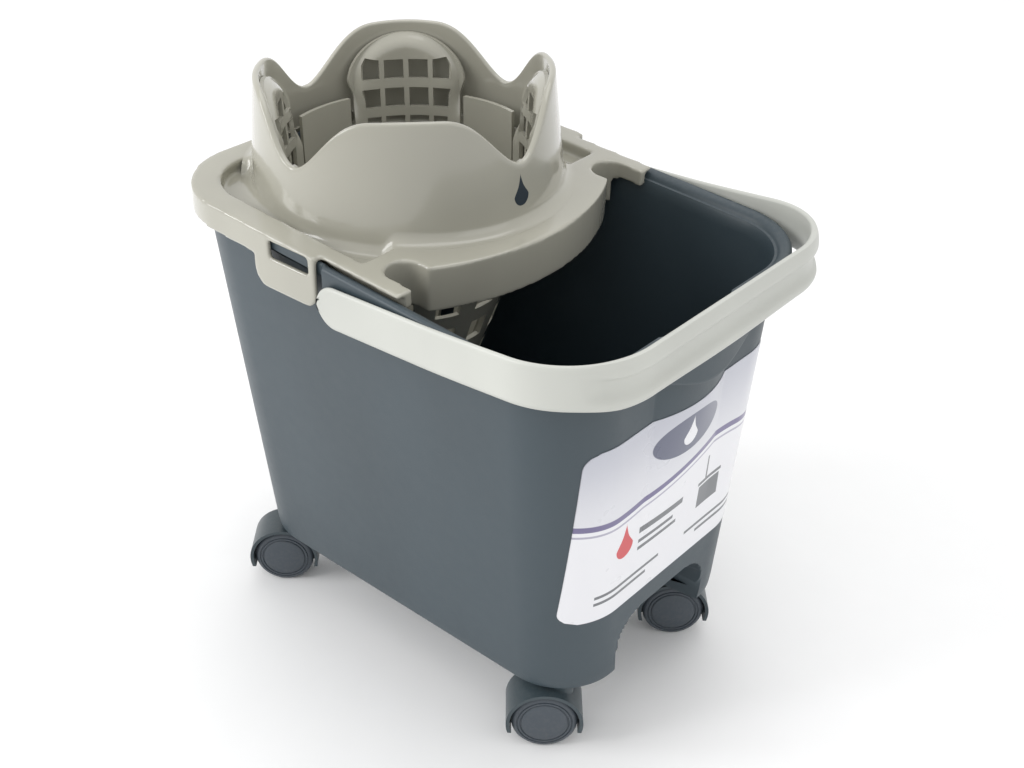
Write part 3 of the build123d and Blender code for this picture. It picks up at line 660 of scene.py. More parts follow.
def softened_copy(node, voxel, passes):
    """Points and faces of a CAD node's merged copy, remeshed evenly and relaxed so that its edges and corners round."""
    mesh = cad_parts[node].data.copy()
    shape = bmesh.new()
    shape.from_mesh(mesh)
    bmesh.ops.remove_doubles(shape, verts=shape.verts, dist=5e-6)
    shape.to_mesh(mesh)
    shape.free()
    carrier = bpy.data.objects.new(node + "_softening", mesh)
    bpy.context.scene.collection.objects.link(carrier)
    remesh = carrier.modifiers.new("Even", "REMESH")
    remesh.mode = "VOXEL"
    remesh.voxel_size = voxel
    relax = carrier.modifiers.new("Relaxed", "SMOOTH")
    relax.factor = 0.5
    relax.iterations = passes
    thin = carrier.modifiers.new("Lighter", "DECIMATE")
    thin.ratio = 0.4
    seen = carrier.evaluated_get(bpy.context.evaluated_depsgraph_get())
    made = bpy.data.meshes.new_from_object(seen)
    points = np.empty(len(made.vertices) * 3)
    made.vertices.foreach_get("co", points)
    faces = [list(face.vertices) for face in made.polygons]
    bpy.data.objects.remove(carrier)
    bpy.data.meshes.remove(made)
    return points.reshape(-1, 3), faces


def crest(sizes, angle):
    """Height of the cup's edge: four broad lobes with a slight crown, and a valley every quarter turn."""
    wave = np.abs(np.sin(2 * angle))
    lobe = 0.88 * smooth(wave / 0.9) + 0.12 * wave ** 2
    return lerp(sizes.crest_valley, sizes.crest_peak, lobe)


def cup_rows(sizes, bucket):
    """Closed run of rings: inside of the cup, its rounded crest, its outside and the concave foot on the plate."""
    angle = np.linspace(0, 2 * math.pi, 288, endpoint=False)
    edge = crest(sizes, angle) + 0.3 * MM
    cover, half = 0.25 * MM, sizes.cup_wall / 2
    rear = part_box("wringer_frame")[0][0] + 0.3 * MM

    def radius(height):
        taper = (sizes.top_radius - sizes.base_radius) / (sizes.top_z - sizes.base_z)
        return sizes.base_radius + (height - sizes.base_z) * taper

    def ring(out, height):
        x = np.maximum(CUP_X + out * np.cos(angle), rear + 0 * angle)
        return np.stack([x, out * np.sin(angle), height + 0 * angle], axis=-1)

    def plate(out):
        x = CUP_X + out * np.cos(angle) - MIDDLE_X
        step = np.maximum(smooth((x + 6 * MM) / (8 * MM)), smooth((-134 * MM - x) / (6 * MM)))
        rise = lerp(-sizes.gutter, sizes.lip_top, step)
        return bucket.rim_z - x * math.tan(bucket.rim_slope) + rise

    low = bucket.rim_z - (CUP_X - MIDDLE_X) * math.tan(bucket.rim_slope) + 0.9 * MM
    rows = []
    for part in np.linspace(0, 1, 12):
        height = lerp(low, edge - half, part)
        rows.append(ring(radius(height) - sizes.cup_wall - cover, height))
    for part in np.linspace(0, math.pi, 9)[1:-1]:
        height = edge - half + half * np.sin(part) ** 0.8
        rows.append(ring(radius(height) - half - (half + cover) * np.cos(part), height))
    flare = 7.5 * MM
    foot = plate(sizes.base_radius + 0.8 * flare)
    for part in np.linspace(0, 1, 12):
        height = lerp(edge - half, np.maximum(foot + flare, low - 6 * MM), part)
        rows.append(ring(radius(height) + cover, height))
    start = np.maximum(foot + flare, low - 6 * MM)
    wide = radius(start) + cover
    for part in np.linspace(0, math.pi / 2, 9)[1:]:
        rows.append(ring(wide + flare * (1 - np.cos(part)), start - (start - foot) * np.sin(part)))
    rows.append(ring(wide + flare, plate(sizes.base_radius + flare) - 1.2 * MM))
    rows.append(ring(wide - 5 * MM, plate(sizes.base_radius + flare) - 1.6 * MM))
    return np.array(rows)


class WringerFrame(bpy.types.Operator):
    """Builds the wringer's cup with its crest and foot, and softens the gutter, deck and side clips"""

    bl_idname = "mop_bucket.wringer"
    bl_label = "Wringer frame"

    def execute(self, context):
        scene = context.scene
        points, faces = softened_copy("wringer_frame", 1.15 * MM, 5)
        rows = cup_rows(scene.wringer_sizes, scene.bucket_sizes)
        cup_faces = grid_faces(len(rows), rows.shape[1], close_columns=True, close_rows=True, first=len(points))
        points = np.concatenate([points, rows.reshape(-1, 3)])
        make_piece("wringer_frame_finish", points, faces + cup_faces.tolist(), "wringer",
                   "wringer_frame", wringer_material(scene.finishes, mark=True), 60, at_bucket=False)
        return {"FINISHED"}


def petal_mesh(sizes, angle):
    """One petal's outer sheet: a tall arch bent round the basket, its holes left out, its border turned outwards."""
    low, shoulder, top, half = sizes.petal_low, sizes.petal_shoulder, sizes.petal_top, sizes.petal_half
    tall = top - shoulder
    hole, pitch, start = 6.1 * MM, 18.3 * MM, low + 14 * MM
    lines = [np.linspace(low, start - hole, 5)]
    for row in range(4):
        centre = start + row * pitch
        lines += [np.linspace(centre - hole, centre + hole, 7)]
        if row < 3:
            lines += [np.linspace(centre + hole, centre + pitch - hole, 4)[1:-1]]
    last = start + 3 * pitch + hole
    lines.append(lerp(last, top - 0.02 * MM, np.sin(np.linspace(0, math.pi / 2, 16))[1:]))
    z = np.concatenate(lines)
    round_off = np.sqrt(np.clip(1 - np.clip((z - shoulder) / tall, 0, 1) ** 2, 1e-6, 1))
    wide = (half + 3.5 * MM * smooth((z - low - 50 * MM) / (14 * MM))) * round_off
    border = np.maximum(np.minimum(27.4 * MM, wide - 8 * MM), 17.4 * MM)
    squeeze = np.minimum(wide / (27.4 * MM), 1.0)
    inner = np.array((1.7, 6.0, 10.4, 14.4, 17.4)) * MM
    columns = [inner_y * np.minimum(squeeze, wide * 0.9 / (17.4 * MM)) for inner_y in inner]
    edge = np.minimum(border, wide * 0.93)
    edge = np.maximum(edge, columns[-1])
    right = columns + [lerp(columns[-1], edge, 0.5), edge]
    right += [lerp(edge, wide, part) for part in (0.3, 0.6, 0.85, 1.0)]
    y = np.array([-column for column in right[::-1]] + [0 * z] + right).T
    height = np.repeat(z[:, None], y.shape[1], axis=1)
    inward = sizes.petal_radius - np.sqrt(sizes.petal_radius ** 2 - y ** 2) + 1.6 * MM
    below = np.clip((start - hole - height) / (start - hole - low), 0, 1)
    height = height + below * inward * math.tan(math.radians(20))
    over = np.clip((height - shoulder) / tall, 0, None)
    away = np.where(over > 0, (1 - np.hypot(y / half, over)) * tall, half - np.abs(y))
    raised = sizes.petal_flange * smooth(1 - away / (8 * MM)) * smooth((height - low - 34 * MM) / (20 * MM))
    lean = 2.0 * MM * smooth((height - low - 34 * MM) / (45 * MM))
    x = np.sqrt(sizes.petal_radius ** 2 - y ** 2) + raised + lean
    cosine, sine = math.cos(angle), math.sin(angle)
    points = np.stack([CUP_X + x * cosine - y * sine, x * sine + y * cosine, height], axis=-1)
    count, width = y.shape
    faces = grid_faces(count, width).reshape(count - 1, width - 1, 4)
    keep = np.ones((count - 1, width - 1), dtype=bool)
    middle = (z[:-1] + z[1:]) / 2
    in_row = np.zeros(count - 1, dtype=bool)
    for row in range(4):
        in_row |= np.abs(middle - (start + row * pitch)) < hole
    centre = width // 2
    for side in (-1, 1):
        for first, count_of in ((1, 3), (5, 2)):
            picked = [centre + first + k if side > 0 else centre - 1 - first - k for k in range(count_of)]
            keep[np.ix_(in_row, picked)] = False
    return points.reshape(-1, 3), faces[keep]


class PressBasket(bpy.types.Operator):
    """Rounds the pressing basket and builds its four hinged petals"""

    bl_idname = "mop_bucket.basket"
    bl_label = "Basket and petals"

    def execute(self, context):
        sizes = context.scene.wringer_sizes
        material = wringer_material(context.scene.finishes)
        bevelled_copy("wringer_basket", "basket", material, 0.5 * MM, 30, 2)
        for petal, degrees in zip(PETALS, (45, 135, 225, 315)):
            points, faces = petal_mesh(sizes, math.radians(degrees))
            piece = make_piece(petal + "_finish", points, faces, petal, petal, material, 50,
                               turn_out=False, at_bucket=False)
            wall = piece.modifiers.new("Wall", "SOLIDIFY")
            wall.thickness = sizes.petal_wall
            wall.offset = -1.0
            soft = piece.modifiers.new("Rounded edges", "BEVEL")
            soft.width = 0.8 * MM
            soft.segments = 3
            soft.limit_method = "ANGLE"
            soft.angle_limit = math.radians(50)
            soft.harden_normals = True
        return {"FINISHED"}


class CupSticker(bpy.types.Operator):
    """Prints the cup's small sticker: plain bars on a pale film"""

    bl_idname = "mop_bucket.sticker"
    bl_label = "Cup sticker"

    def execute(self, context):
        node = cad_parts["cup_sticker"]
        node.data.materials.clear()
        node.data.materials.append(sticker_material(context.scene.finishes))
        return {"FINISHED"}


# ---------------------------------------------------------------- the castors


def wheel_profile(castors):
    """Half section of a wheel: flat inner face, tread, two ring grooves and a low dome outside."""
    radius, width, dish = castors.wheel_radius, castors.wheel_width, castors.wheel_dish
    spread = np.array([0.0, 0.1, 0.2, 0.3, 0.4, 0.5, 0.6, 0.68])
    dome = [(radius * r, width - 0.3 * MM - dish * (r / 1.0) ** 2) for r in spread]
    level = width - 0.3 * MM - dish * 0.5
    rim = [(0.70, -0.1), (0.715, -0.8), (0.745, -0.8), (0.76, -0.15), (0.80, -0.2), (0.815, -0.9), (0.84, -0.9),
           (0.855, -0.3), (0.90, -0.5), (0.95, -1.0)]
    edge = [(radius * r, level + step * MM) for r, step in rim]
    tread = [(radius - 0.25 * MM, width - 3.0 * MM), (radius, width - 3.8 * MM), (radius, 1.0 * MM),
             (radius - 0.3 * MM, 0.3 * MM), (radius - 1.0 * MM, 0.0), (0.0, 0.0)]
    return np.array(dome + edge + tread)


class Castors(bpy.types.Operator):
    """Builds the four twin-wheel castors: hoods, wheels, stems and axles"""

    bl_idname = "mop_bucket.castors"
    bl_label = "Castors"

    def execute(self, context):
        finishes, castors = context.scene.finishes, context.scene.castor_sizes
        hood, tyre, steel = hood_material(finishes), wheel_material(finishes), steel_material(finishes)
        for corner in CORNERS:
            bevelled_copy("castor_hood_" + corner, "castor_" + corner, hood, 0.7 * MM, 30, 3)
            for kind in ("castor_stem_", "castor_axle_"):
                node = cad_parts[kind + corner]
                node.data.materials.clear()
                node.data.materials.append(steel)
            heading = castors.heading
            axle = box_middle("castor_axle_" + corner)
            side_way = np.array((-math.sin(heading), math.cos(heading), 0))
            fore = np.array((math.cos(heading), math.sin(heading), 0))
            for label, sign in (("inner", -1), ("outer", 1)):
                profile = wheel_profile(castors)
                start = axle + side_way * sign * (castors.web / 2 + castors.web_gap)
                ring = lathe(profile, start, 72, (fore, (0, 0, 1), side_way * sign))
                make_piece("castor_wheel_%s_%s_finish" % (label, corner), ring.reshape(-1, 3),
                           grid_faces(len(profile), 72, close_columns=True), "wheels_" + corner,
                           "castor_wheel_%s_%s" % (label, corner), tyre, 50, at_bucket=False)
        return {"FINISHED"}


# ---------------------------------------------------------------- materials


class Sheet:
    """Short ways to lay nodes in a tree: each call returns the new node's output."""

    def __init__(self, tree):
        self.tree = tree

    def node(self, kind, **settings):
        made = self.tree.nodes.new(kind)
        for key, value in settings.items():
            setattr(made, key, value)
        return made

    def feed(self, socket, value):
        """Links a socket, or sets its constant."""
        if isinstance(value, bpy.types.NodeSocket):
            self.tree.links.new(value, socket)
        elif hasattr(socket.default_value, "__len__") and not hasattr(value, "__len__"):
            socket.default_value = (value, value, value)
        elif hasattr(value, "__len__") and len(value) == 3 and len(socket.default_value) == 4:
            socket.default_value = (*value, 1.0)
        else:
            socket.default_value = value

    def math(self, operation, first, second=0.0, third=0.0, clamp=False):
        made = self.node("ShaderNodeMath", operation=operation, use_clamp=clamp)
        for socket, value in zip(made.inputs, (first, second, third)):
            self.feed(socket, value)
        return made.outputs[0]

    def mix(self, share_of, first, second):
        """Colour part of the way from first to second."""
        made = self.node("ShaderNodeMix", data_type="RGBA")
        self.feed(made.inputs["Factor"], share_of)
        self.feed(made.inputs[6], first)
        self.feed(made.inputs[7], second)
        return made.outputs[2]

    def ramp(self, value, low, high, out_low=0.0, out_high=1.0):
        """Smooth step of a value between two levels."""
        made = self.node("ShaderNodeMapRange", interpolation_type="SMOOTHSTEP")
        for socket, number in zip(made.inputs, (value, low, high, out_low, out_high)):
            self.feed(socket, number)
        return made.outputs[0]

    def place(self):
        """Object coordinates in metres."""
        return self.node("ShaderNodeTexCoord").outputs["Object"]

    def stretched(self, scale):
        made = self.node("ShaderNodeMapping")
        self.feed(made.inputs["Vector"], self.place())
        made.inputs["Scale"].default_value = scale
        return made.outputs[0]

    def noise(self, vector, scale, detail=3.0, roughness=0.55):
        made = self.node("ShaderNodeTexNoise")
        self.feed(made.inputs["Vector"], vector)
        self.feed(made.inputs["Scale"], scale)
        self.feed(made.inputs["Detail"], detail)
        self.feed(made.inputs["Roughness"], roughness)
        return made.outputs["Fac"]

    def axes(self):
        made = self.node("ShaderNodeSeparateXYZ")
        self.feed(made.inputs[0], self.place())
        return made.outputs


def node_group(name, inputs, outputs, fill):
    """A shader node group, made once, with named inputs and outputs."""
    if name in bpy.data.node_groups:
        return bpy.data.node_groups[name]
    group = bpy.data.node_groups.new(name, "ShaderNodeTree")
    for label, kind, value in inputs:
        socket = group.interface.new_socket(name=label, in_out="INPUT", socket_type=kind)
        socket.default_value = value
    for label, kind in outputs:
        group.interface.new_socket(name=label, in_out="OUTPUT", socket_type=kind)
    sheet = Sheet(group)
    start, end = sheet.node("NodeGroupInput"), sheet.node("NodeGroupOutput")
    fill(sheet, start.outputs, end.inputs)
    return group


def grain_group():
    """Fine moulded grain: a height from small noise, for a bump."""
    def fill(sheet, start, end):
        fine = sheet.noise(sheet.place(), start["Scale"], 2.0, 0.6)
        broad = sheet.noise(sheet.place(), sheet.math("MULTIPLY", start["Scale"], 0.13), 2.0)
        height = sheet.math("ADD", sheet.math("MULTIPLY", fine, 0.6), sheet.math("MULTIPLY", broad, 0.4))
        sheet.feed(end["Height"], sheet.math("MULTIPLY", height, start["Strength"]))
    return node_group("Moulded grain", [("Scale", "NodeSocketFloat", 1800.0), ("Strength", "NodeSocketFloat", 1.0)],
                      [("Height", "NodeSocketFloat")], fill)


def scuff_group():
    """Thin rubbed streaks and handling marks: a mask from stretched, sharpened noise."""
    def fill(sheet, start, end):
        long_way = sheet.noise(sheet.stretched((1.0, 1.0, 9.0)), start["Scale"], 5.0, 0.7)
        other = sheet.noise(sheet.stretched((7.0, 1.4, 1.0)), sheet.math("MULTIPLY", start["Scale"], 0.7), 5.0, 0.7)
        patches = sheet.noise(sheet.place(), sheet.math("MULTIPLY", start["Scale"], 0.25), 2.0)
        streaks = sheet.math("MAXIMUM", sheet.ramp(long_way, 0.62, 0.74), sheet.ramp(other, 0.63, 0.75))
        mask = sheet.math("MULTIPLY", streaks, sheet.ramp(patches, 0.45, 0.65))
        sheet.feed(end["Mask"], sheet.math("MULTIPLY", mask, start["Amount"]))
    return node_group("Handling scuffs", [("Scale", "NodeSocketFloat", 60.0), ("Amount", "NodeSocketFloat", 0.5)],
                      [("Mask", "NodeSocketFloat")], fill)


def flow_group():
    """Slow drifts of shade where the plastic flowed in the mould: a value round a half."""
    def fill(sheet, start, end):
        drift = sheet.noise(sheet.stretched((1.0, 1.0, 0.45)), start["Scale"], 3.0, 0.5)
        sheet.feed(end["Value"], sheet.ramp(drift, 0.3, 0.7))
    return node_group("Mould flow", [("Scale", "NodeSocketFloat", 9.0)], [("Value", "NodeSocketFloat")], fill)


def dust_group():
    """Fine dust that settles on level, upward faces and low down: a mask."""
    def fill(sheet, start, end):
        facing = sheet.node("ShaderNodeSeparateXYZ")
        sheet.feed(facing.inputs[0], sheet.node("ShaderNodeNewGeometry").outputs["Normal"])
        upward = sheet.ramp(facing.outputs["Z"], 0.4, 1.0)
        low = sheet.ramp(sheet.axes()["Z"], start["Reach"], 0.0)
        speckle = sheet.ramp(sheet.noise(sheet.place(), 420.0, 4.0, 0.7), 0.42, 0.68)
        settled = sheet.math("MULTIPLY", sheet.math("ADD", upward, low, clamp=True), speckle)
        sheet.feed(end["Mask"], sheet.math("MULTIPLY", settled, start["Amount"]))
    return node_group("Settled dust", [("Amount", "NodeSocketFloat", 0.15), ("Reach", "NodeSocketFloat", 0.06)],
                      [("Mask", "NodeSocketFloat")], fill)


def use_group(sheet, group, output, **values):
    """Lays a group's node with its named inputs and returns one of its outputs."""
    made = sheet.node("ShaderNodeGroup", node_tree=group)
    for label, value in values.items():
        sheet.feed(made.inputs[label], value)
    return made.outputs[output]


def start_material(name):
    """A new material with an empty tree, its shader and a sheet to lay nodes on."""
    material = bpy.data.materials.get(name) or bpy.data.materials.new(name)
    material.use_nodes = True
    material.node_tree.nodes.clear()
    sheet = Sheet(material.node_tree)
    shader = sheet.node("ShaderNodeBsdfPrincipled")
    output = sheet.node("ShaderNodeOutputMaterial")
    sheet.feed(output.inputs["Surface"], shader.outputs[0])
    return material, sheet, shader


def moulded(name, base, roughness, grain=1800.0, bump=0.06, scuffs=0.35, dust=0.12, coat=0.0, pale=1.6, level=0.5,
            soft=0.0):
    """Moulded plastic: flow marks and scuffs in the colour, grain in the bump and the roughness."""
    material, sheet, shader = start_material(name)
    flow = use_group(sheet, flow_group(), "Value", Scale=8.0)
    dark = tuple(channel * 0.9 for channel in base)
    light = tuple(min(channel * 1.08, 1.0) for channel in base)
    shade = sheet.mix(flow, dark, light)
    marks = use_group(sheet, scuff_group(), "Mask", Scale=55.0, Amount=scuffs)
    shade = sheet.mix(marks, shade, tuple(min(channel * pale + 0.015, 1.0) for channel in base))
    specks = use_group(sheet, dust_group(), "Mask", Amount=dust)
    shade = sheet.mix(specks, shade, (0.36, 0.35, 0.32))
    sheet.feed(shader.inputs["Base Color"], shade)
    drift = sheet.noise(sheet.place(), 130.0, 4.0, 0.6)
    rough = sheet.math("MULTIPLY_ADD", drift, 0.12, roughness - 0.06)
    rough = sheet.math("ADD", rough, sheet.math("MULTIPLY", marks, 0.22))
    sheet.feed(shader.inputs["Roughness"], sheet.math("ADD", rough, sheet.math("MULTIPLY", specks, 0.3), clamp=True))
    height = use_group(sheet, grain_group(), "Height", Scale=grain, Strength=1.0)
    made = sheet.node("ShaderNodeBump")
    made.inputs["Strength"].default_value = bump
    made.inputs["Distance"].default_value = 0.0004
    sheet.feed(made.inputs["Height"], sheet.math("SUBTRACT", height, sheet.math("MULTIPLY", marks, 0.4)))
    sheet.feed(shader.inputs["Normal"], made.outputs[0])
    shader.inputs["Specular IOR Level"].default_value = level
    shader.inputs["Coat Weight"].default_value = coat
    shader.inputs["Coat Roughness"].default_value = 0.05
    if soft:
        shader.inputs["Subsurface Weight"].default_value = soft
        shader.inputs["Subsurface Radius"].default_value = (0.004, 0.003, 0.002)
        shader.inputs["Subsurface Scale"].default_value = 0.5
    return material


def bucket_material(finishes):
    return moulded("Anthracite polypropylene", tuple(finishes.anthracite), finishes.satin, 1500.0, 0.22, 0.10, 0.05)


def wringer_material(finishes, mark=False):
    """Cream gloss plastic; the cup also has a printed drop at its front."""
    name = "Cream polypropylene, printed" if mark else "Cream polypropylene"
    material = moulded(name, tuple(finishes.cream), finishes.gloss, 900.0, 0.02, 0.10, 0.03, 0.6, 1.1)
    if mark:
        tree = material.node_tree
        sheet = Sheet(tree)
        shader = next(node for node in tree.nodes if node.type == "BSDF_PRINCIPLED")
        plain = shader.inputs["Base Color"].links[0].from_socket
        axes = sheet.axes()
        round_cup = sheet.math("ARCTAN2", axes["Y"], sheet.math("SUBTRACT", axes["X"], CUP_X))
        across = sheet.math("MULTIPLY", round_cup, 0.093)
        outside = sheet.ramp(sheet.math("SUBTRACT", axes["X"], CUP_X), 0.0885, 0.0895)
        drop = sheet.math("MULTIPLY", droplet(sheet, across, axes["Z"], (-0.003, 0.3135), 0.0058), outside)
        sheet.feed(shader.inputs["Base Color"], sheet.mix(drop, plain, tuple(finishes.ink)))
    return material


def handle_material(finishes):
    return moulded("Off-white polypropylene", tuple(finishes.ivory), finishes.satin - 0.06, 1300.0, 0.08, 0.12, 0.03,
                   0.0, 1.1)


def hood_material(finishes):
    return moulded("Castor nylon", tuple(finishes.nylon), 0.34, 1500.0, 0.12, 0.15, 0.04)


def wheel_material(finishes):
    return moulded("Wheel plastic", tuple(finishes.tread), 0.46, 1500.0, 0.12, 0.15, 0.06)


def steel_material(finishes):
    """Zinc-plated steel with fine turning marks."""
    material, sheet, shader = start_material("Plated steel")
    rings = sheet.noise(sheet.stretched((1.0, 1.0, 30.0)), 260.0, 4.0)
    base = tuple(finishes.steel)
    sheet.feed(shader.inputs["Base Color"], sheet.mix(rings, tuple(c * 0.82 for c in base), base))
    sheet.feed(shader.inputs["Roughness"], sheet.math("MULTIPLY_ADD", rings, 0.2, 0.22))
    shader.inputs["Metallic"].default_value = 1.0
    made = sheet.node("ShaderNodeBump")
    made.inputs["Strength"].default_value = 0.1
    made.inputs["Distance"].default_value = 0.0002
    sheet.feed(made.inputs["Height"], rings)
    sheet.feed(shader.inputs["Normal"], made.outputs[0])
    return material


def bar(sheet, across, up, centre, half):
    """Mask of an upright rectangle, with edges a tenth of a millimetre soft."""
    wide = sheet.math("SUBTRACT", sheet.math("ABSOLUTE", sheet.math("SUBTRACT", across, centre[0])), half[0])
    high = sheet.math("SUBTRACT", sheet.math("ABSOLUTE", sheet.math("SUBTRACT", up, centre[1])), half[1])
    return sheet.ramp(sheet.math("MAXIMUM", wide, high), 0.0001, -0.0001)


def droplet(sheet, across, up, centre, radius):
    """Mask of a drop: a round foot that narrows upwards to a tip."""
    side = sheet.math("DIVIDE", sheet.math("SUBTRACT", across, centre[0]), radius)
    height = sheet.math("DIVIDE", sheet.math("SUBTRACT", up, centre[1]), radius)
    narrow = sheet.math("SUBTRACT", 1.0, sheet.math("MULTIPLY", sheet.math("MAXIMUM", height, 0.0), 0.46))
    wide = sheet.math("DIVIDE", side, sheet.math("MAXIMUM", narrow, 0.05))
    tall = sheet.math("MULTIPLY", height, sheet.ramp(height, 0.0, 2.0, 1.0, 0.45))
    away = sheet.math("ADD", sheet.math("MULTIPLY", wide, wide), sheet.math("MULTIPLY", tall, tall))
    return sheet.ramp(away, 1.03, 0.97)


def film(shader, sheet, shade, roughness):
    """Printed film: even gloss with faint waves."""
    sheet.feed(shader.inputs["Base Color"], shade)
    ripple = sheet.noise(sheet.place(), 45.0, 2.0)
    sheet.feed(shader.inputs["Roughness"], sheet.math("MULTIPLY_ADD", ripple, 0.1, roughness))
    made = sheet.node("ShaderNodeBump")
    made.inputs["Strength"].default_value = 0.08
    made.inputs["Distance"].default_value = 0.0006
    sheet.feed(made.inputs["Height"], ripple)
    sheet.feed(shader.inputs["Normal"], made.outputs[0])


def label_material(finishes, sizes):
    """Plain two-tone label: a washed upper field over a wave line, a drop, a bucket picture and plain bars."""
    material, sheet, shader = start_material("Printed label")
    axes = sheet.axes()
    across, up = axes["Y"], axes["Z"]
    swing = sheet.math("MULTIPLY", sheet.math("SINE", sheet.math("MULTIPLY_ADD", across, 38.0, 0.4)), 0.0055)
    line = sheet.math("SUBTRACT", up, sheet.math("ADD", swing, 0.1800))
    upper = sheet.ramp(line, -0.0002, 0.0002)
    fade = sheet.ramp(up, 0.178, 0.232, 0.35, 1.0)
    wash = sheet.mix(fade, tuple(finishes.paper), tuple(finishes.wash))
    shade = sheet.mix(upper, tuple(finishes.paper), wash)
    stripe = sheet.ramp(sheet.math("ABSOLUTE", line), 0.0022, 0.0018)
    shade = sheet.mix(stripe, shade, tuple(finishes.wave))
    thin = sheet.ramp(sheet.math("ABSOLUTE", sheet.math("ADD", line, 0.0055)), 0.0009, 0.0006)
    shade = sheet.mix(sheet.math("MULTIPLY", thin, 0.6), shade, tuple(finishes.wave))
    drop = droplet(sheet, across, up, (-0.048, 0.150), 0.0075)
    shade = sheet.mix(drop, shade, tuple(finishes.accent))
    mark = droplet(sheet, across, up, (-0.002, 0.206), 0.0062)
    oval = sheet.math("ADD", sheet.math("POWER", sheet.math("DIVIDE", sheet.math("ADD", across, 0.002), 0.030), 2.0),
                      sheet.math("POWER", sheet.math("DIVIDE", sheet.math("SUBTRACT", up, 0.2085), 0.0135), 2.0))
    shade = sheet.mix(sheet.ramp(oval, 1.02, 0.98), shade, (0.12, 0.13, 0.19))
    shade = sheet.mix(mark, shade, tuple(finishes.paper))
    pail = bar(sheet, across, up, (0.034, 0.144), (0.011, 0.008))
    pail = sheet.math("MAXIMUM", pail, bar(sheet, across, up, (0.034, 0.1545), (0.0125, 0.0012)))
    pail = sheet.math("MAXIMUM", pail, bar(sheet, across, up, (0.030, 0.163), (0.0009, 0.009)))
    rows = [((-0.015, 0.154), (0.020, 0.0022)), ((-0.019, 0.146), (0.016, 0.0013)), ((-0.017, 0.1405), (0.018, 0.0013)),
            ((-0.040, 0.122), (0.028, 0.0011)), ((-0.046, 0.117), (0.022, 0.0011)), ((0.040, 0.122), (0.026, 0.0011)),
            ((0.046, 0.117), (0.020, 0.0011))]
    for centre, half in rows:
        pail = sheet.math("MAXIMUM", pail, bar(sheet, across, up, centre, half))
    shade = sheet.mix(sheet.math("MULTIPLY", pail, 0.85), shade, tuple(finishes.ink))
    film(shader, sheet, shade, 0.24)
    shader.inputs["Coat Weight"].default_value = 0.3
    shader.inputs["Coat Roughness"].default_value = 0.1
    return material


def sticker_material(finishes):
    """Small pale sticker with plain grey bars."""
    material, sheet, shader = start_material("Cup sticker")
    up = sheet.axes()["Z"]
    shade = tuple(finishes.paper)
    fields = None
    for height, half in ((0.3235, 0.0026), (0.3165, 0.0010), (0.3130, 0.0010), (0.3095, 0.0010)):
        away = sheet.math("SUBTRACT", sheet.math("ABSOLUTE", sheet.math("SUBTRACT", up, height)), half)
        row = sheet.ramp(away, 0.0001, -0.0001)
        fields = row if fields is None else sheet.math("MAXIMUM", fields, row)
    shade = sheet.mix(sheet.math("MULTIPLY", fields, 0.75), shade, tuple(finishes.wave))
    film(shader, sheet, shade, 0.3)
    return material


# ---------------------------------------------------------------- the stage


def soft_light(name, place, aim, width, height, watts):
    """A rectangular studio light that faces a point."""
    data = bpy.data.lights.new(name, "AREA")
    data.shape, data.size, data.size_y, data.energy = "RECTANGLE", width, height, watts
    lamp = bpy.data.objects.new(name, data)
    lamp.location = place
    lamp.rotation_euler = (Vector(aim) - Vector(place)).to_track_quat("-Z", "Y").to_euler()
    bpy.context.scene.collection.objects.link(lamp)
    return lamp


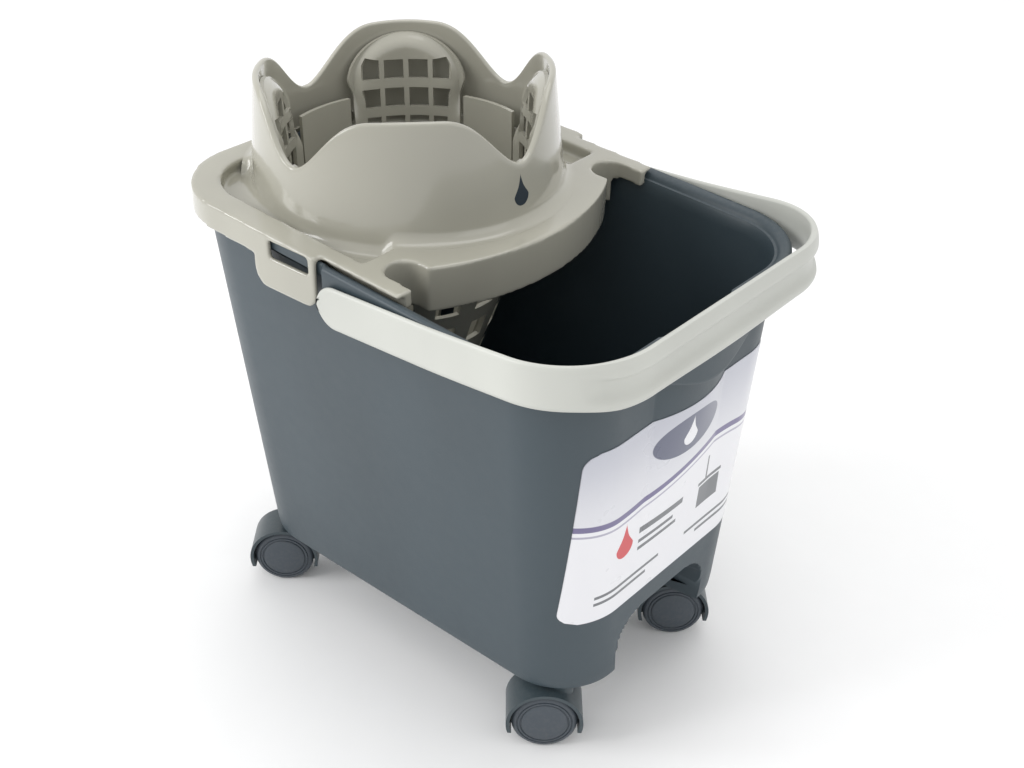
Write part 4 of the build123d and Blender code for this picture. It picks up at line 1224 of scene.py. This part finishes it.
class Stage(bpy.types.Operator):
    """Lays the pale floor, the soft lights and the camera"""

    bl_idname = "mop_bucket.stage"
    bl_label = "Stage"

    def execute(self, context):
        half = 4.0
        mesh = bpy.data.meshes.new("floor")
        mesh.from_pydata([(-half, -half, 0), (half, -half, 0), (half, half, 0), (-half, half, 0)], [], [(0, 1, 2, 3)])
        floor = bpy.data.objects.new("floor", mesh)
        context.scene.collection.objects.link(floor)
        material, sheet, shader = start_material("Pale floor")
        speckle = sheet.noise(sheet.place(), 30.0, 2.0)
        sheet.feed(shader.inputs["Base Color"], sheet.mix(speckle, (0.93, 0.93, 0.93), (0.95, 0.95, 0.95)))
        shader.inputs["Roughness"].default_value = 0.6
        mesh.materials.append(material)
        world = bpy.data.worlds.new("Studio")
        world.use_nodes = True
        world.node_tree.nodes["Background"].inputs[0].default_value = (1.0, 1.0, 1.0, 1.0)
        world.node_tree.nodes["Background"].inputs[1].default_value = 0.92
        context.scene.world = world
        aim = (MIDDLE_X, 0, 0.18)
        for name, place in (("window_left", (-1.35, -1.25, 1.15)), ("window_right", (-0.85, -1.60, 1.15))):
            soft_light(name, place, aim, 0.42, 0.95, 8)
        soft_light("fill", (1.8, 0.3, 1.0), aim, 1.2, 1.2, 2.5)
        soft_light("top", (-0.1, 0.4, 2.1), aim, 1.4, 1.4, 9)
        context.scene.view_settings.view_transform = "Standard"
        azimuth, pitch, roll = math.radians(40.924), math.radians(32.556), math.radians(0.221)
        back = Vector((math.sin(azimuth) * math.cos(pitch), -math.cos(azimuth) * math.cos(pitch), math.sin(pitch)))
        right = (-back).cross(Vector((0, 0, 1))).normalized()
        up = right.cross(-back)
        level, raised = math.cos(roll), math.sin(roll)
        right, up = right * level + up * raised, up * level - right * raised
        data = bpy.data.cameras.new("camera")
        data.sensor_width = 36.0
        data.lens = 49.19
        data.clip_start = 0.01
        camera = bpy.data.objects.new("camera", data)
        turn_to = Matrix((right, up, back)).transposed().to_4x4()
        camera.matrix_world = Matrix.Translation((0.49781 + MIDDLE_X, -0.55075, 0.64762)) @ turn_to
        context.scene.collection.objects.link(camera)
        context.scene.camera = camera
        return {"FINISHED"}


class BuilderPanel(bpy.types.Panel):
    """Lists the builders and their sizes"""

    bl_label = "Mop Bucket"
    bl_idname = "VIEW3D_PT_mop_bucket"
    bl_space_type = "VIEW_3D"
    bl_region_type = "UI"
    bl_category = "Mop Bucket"

    def draw(self, context):
        for operator in PIECES:
            self.layout.operator(operator.bl_idname)
        for group in ("bucket_sizes", "handle_sizes", "wringer_sizes", "castor_sizes", "finishes"):
            settings = getattr(context.scene, group)
            column = self.layout.column(heading=group.replace("_", " ").capitalize())
            for key in settings.bl_rna.properties.keys():
                if key not in ("rna_type", "name"):
                    column.prop(settings, key)


GROUPS = {
    "bucket_sizes": BucketSizes,
    "handle_sizes": HandleSizes,
    "wringer_sizes": WringerSizes,
    "castor_sizes": CastorSizes,
    "finishes": Finishes,
}
PIECES = (BucketShell, BucketLabel, CarryingHandle, WringerFrame, PressBasket, CupSticker, Castors, Stage)


def register():
    for group in GROUPS.values():
        bpy.utils.register_class(group)
    for piece in PIECES + (BuilderPanel,):
        bpy.utils.register_class(piece)
    for name, group in GROUPS.items():
        setattr(bpy.types.Scene, name, PointerProperty(type=group))


def unregister():
    for name in GROUPS:
        delattr(bpy.types.Scene, name)
    for piece in (BuilderPanel,) + PIECES[::-1]:
        bpy.utils.unregister_class(piece)
    for group in GROUPS.values():
        bpy.utils.unregister_class(group)


def main():
    """Registers the add-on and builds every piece."""
    register()
    bpy.ops.mop_bucket.shell()
    bpy.ops.mop_bucket.label()
    bpy.ops.mop_bucket.handle()
    bpy.ops.mop_bucket.wringer()
    bpy.ops.mop_bucket.basket()
    bpy.ops.mop_bucket.sticker()
    bpy.ops.mop_bucket.castors()
    bpy.ops.mop_bucket.stage()


if __name__ == "__main__":
    main()
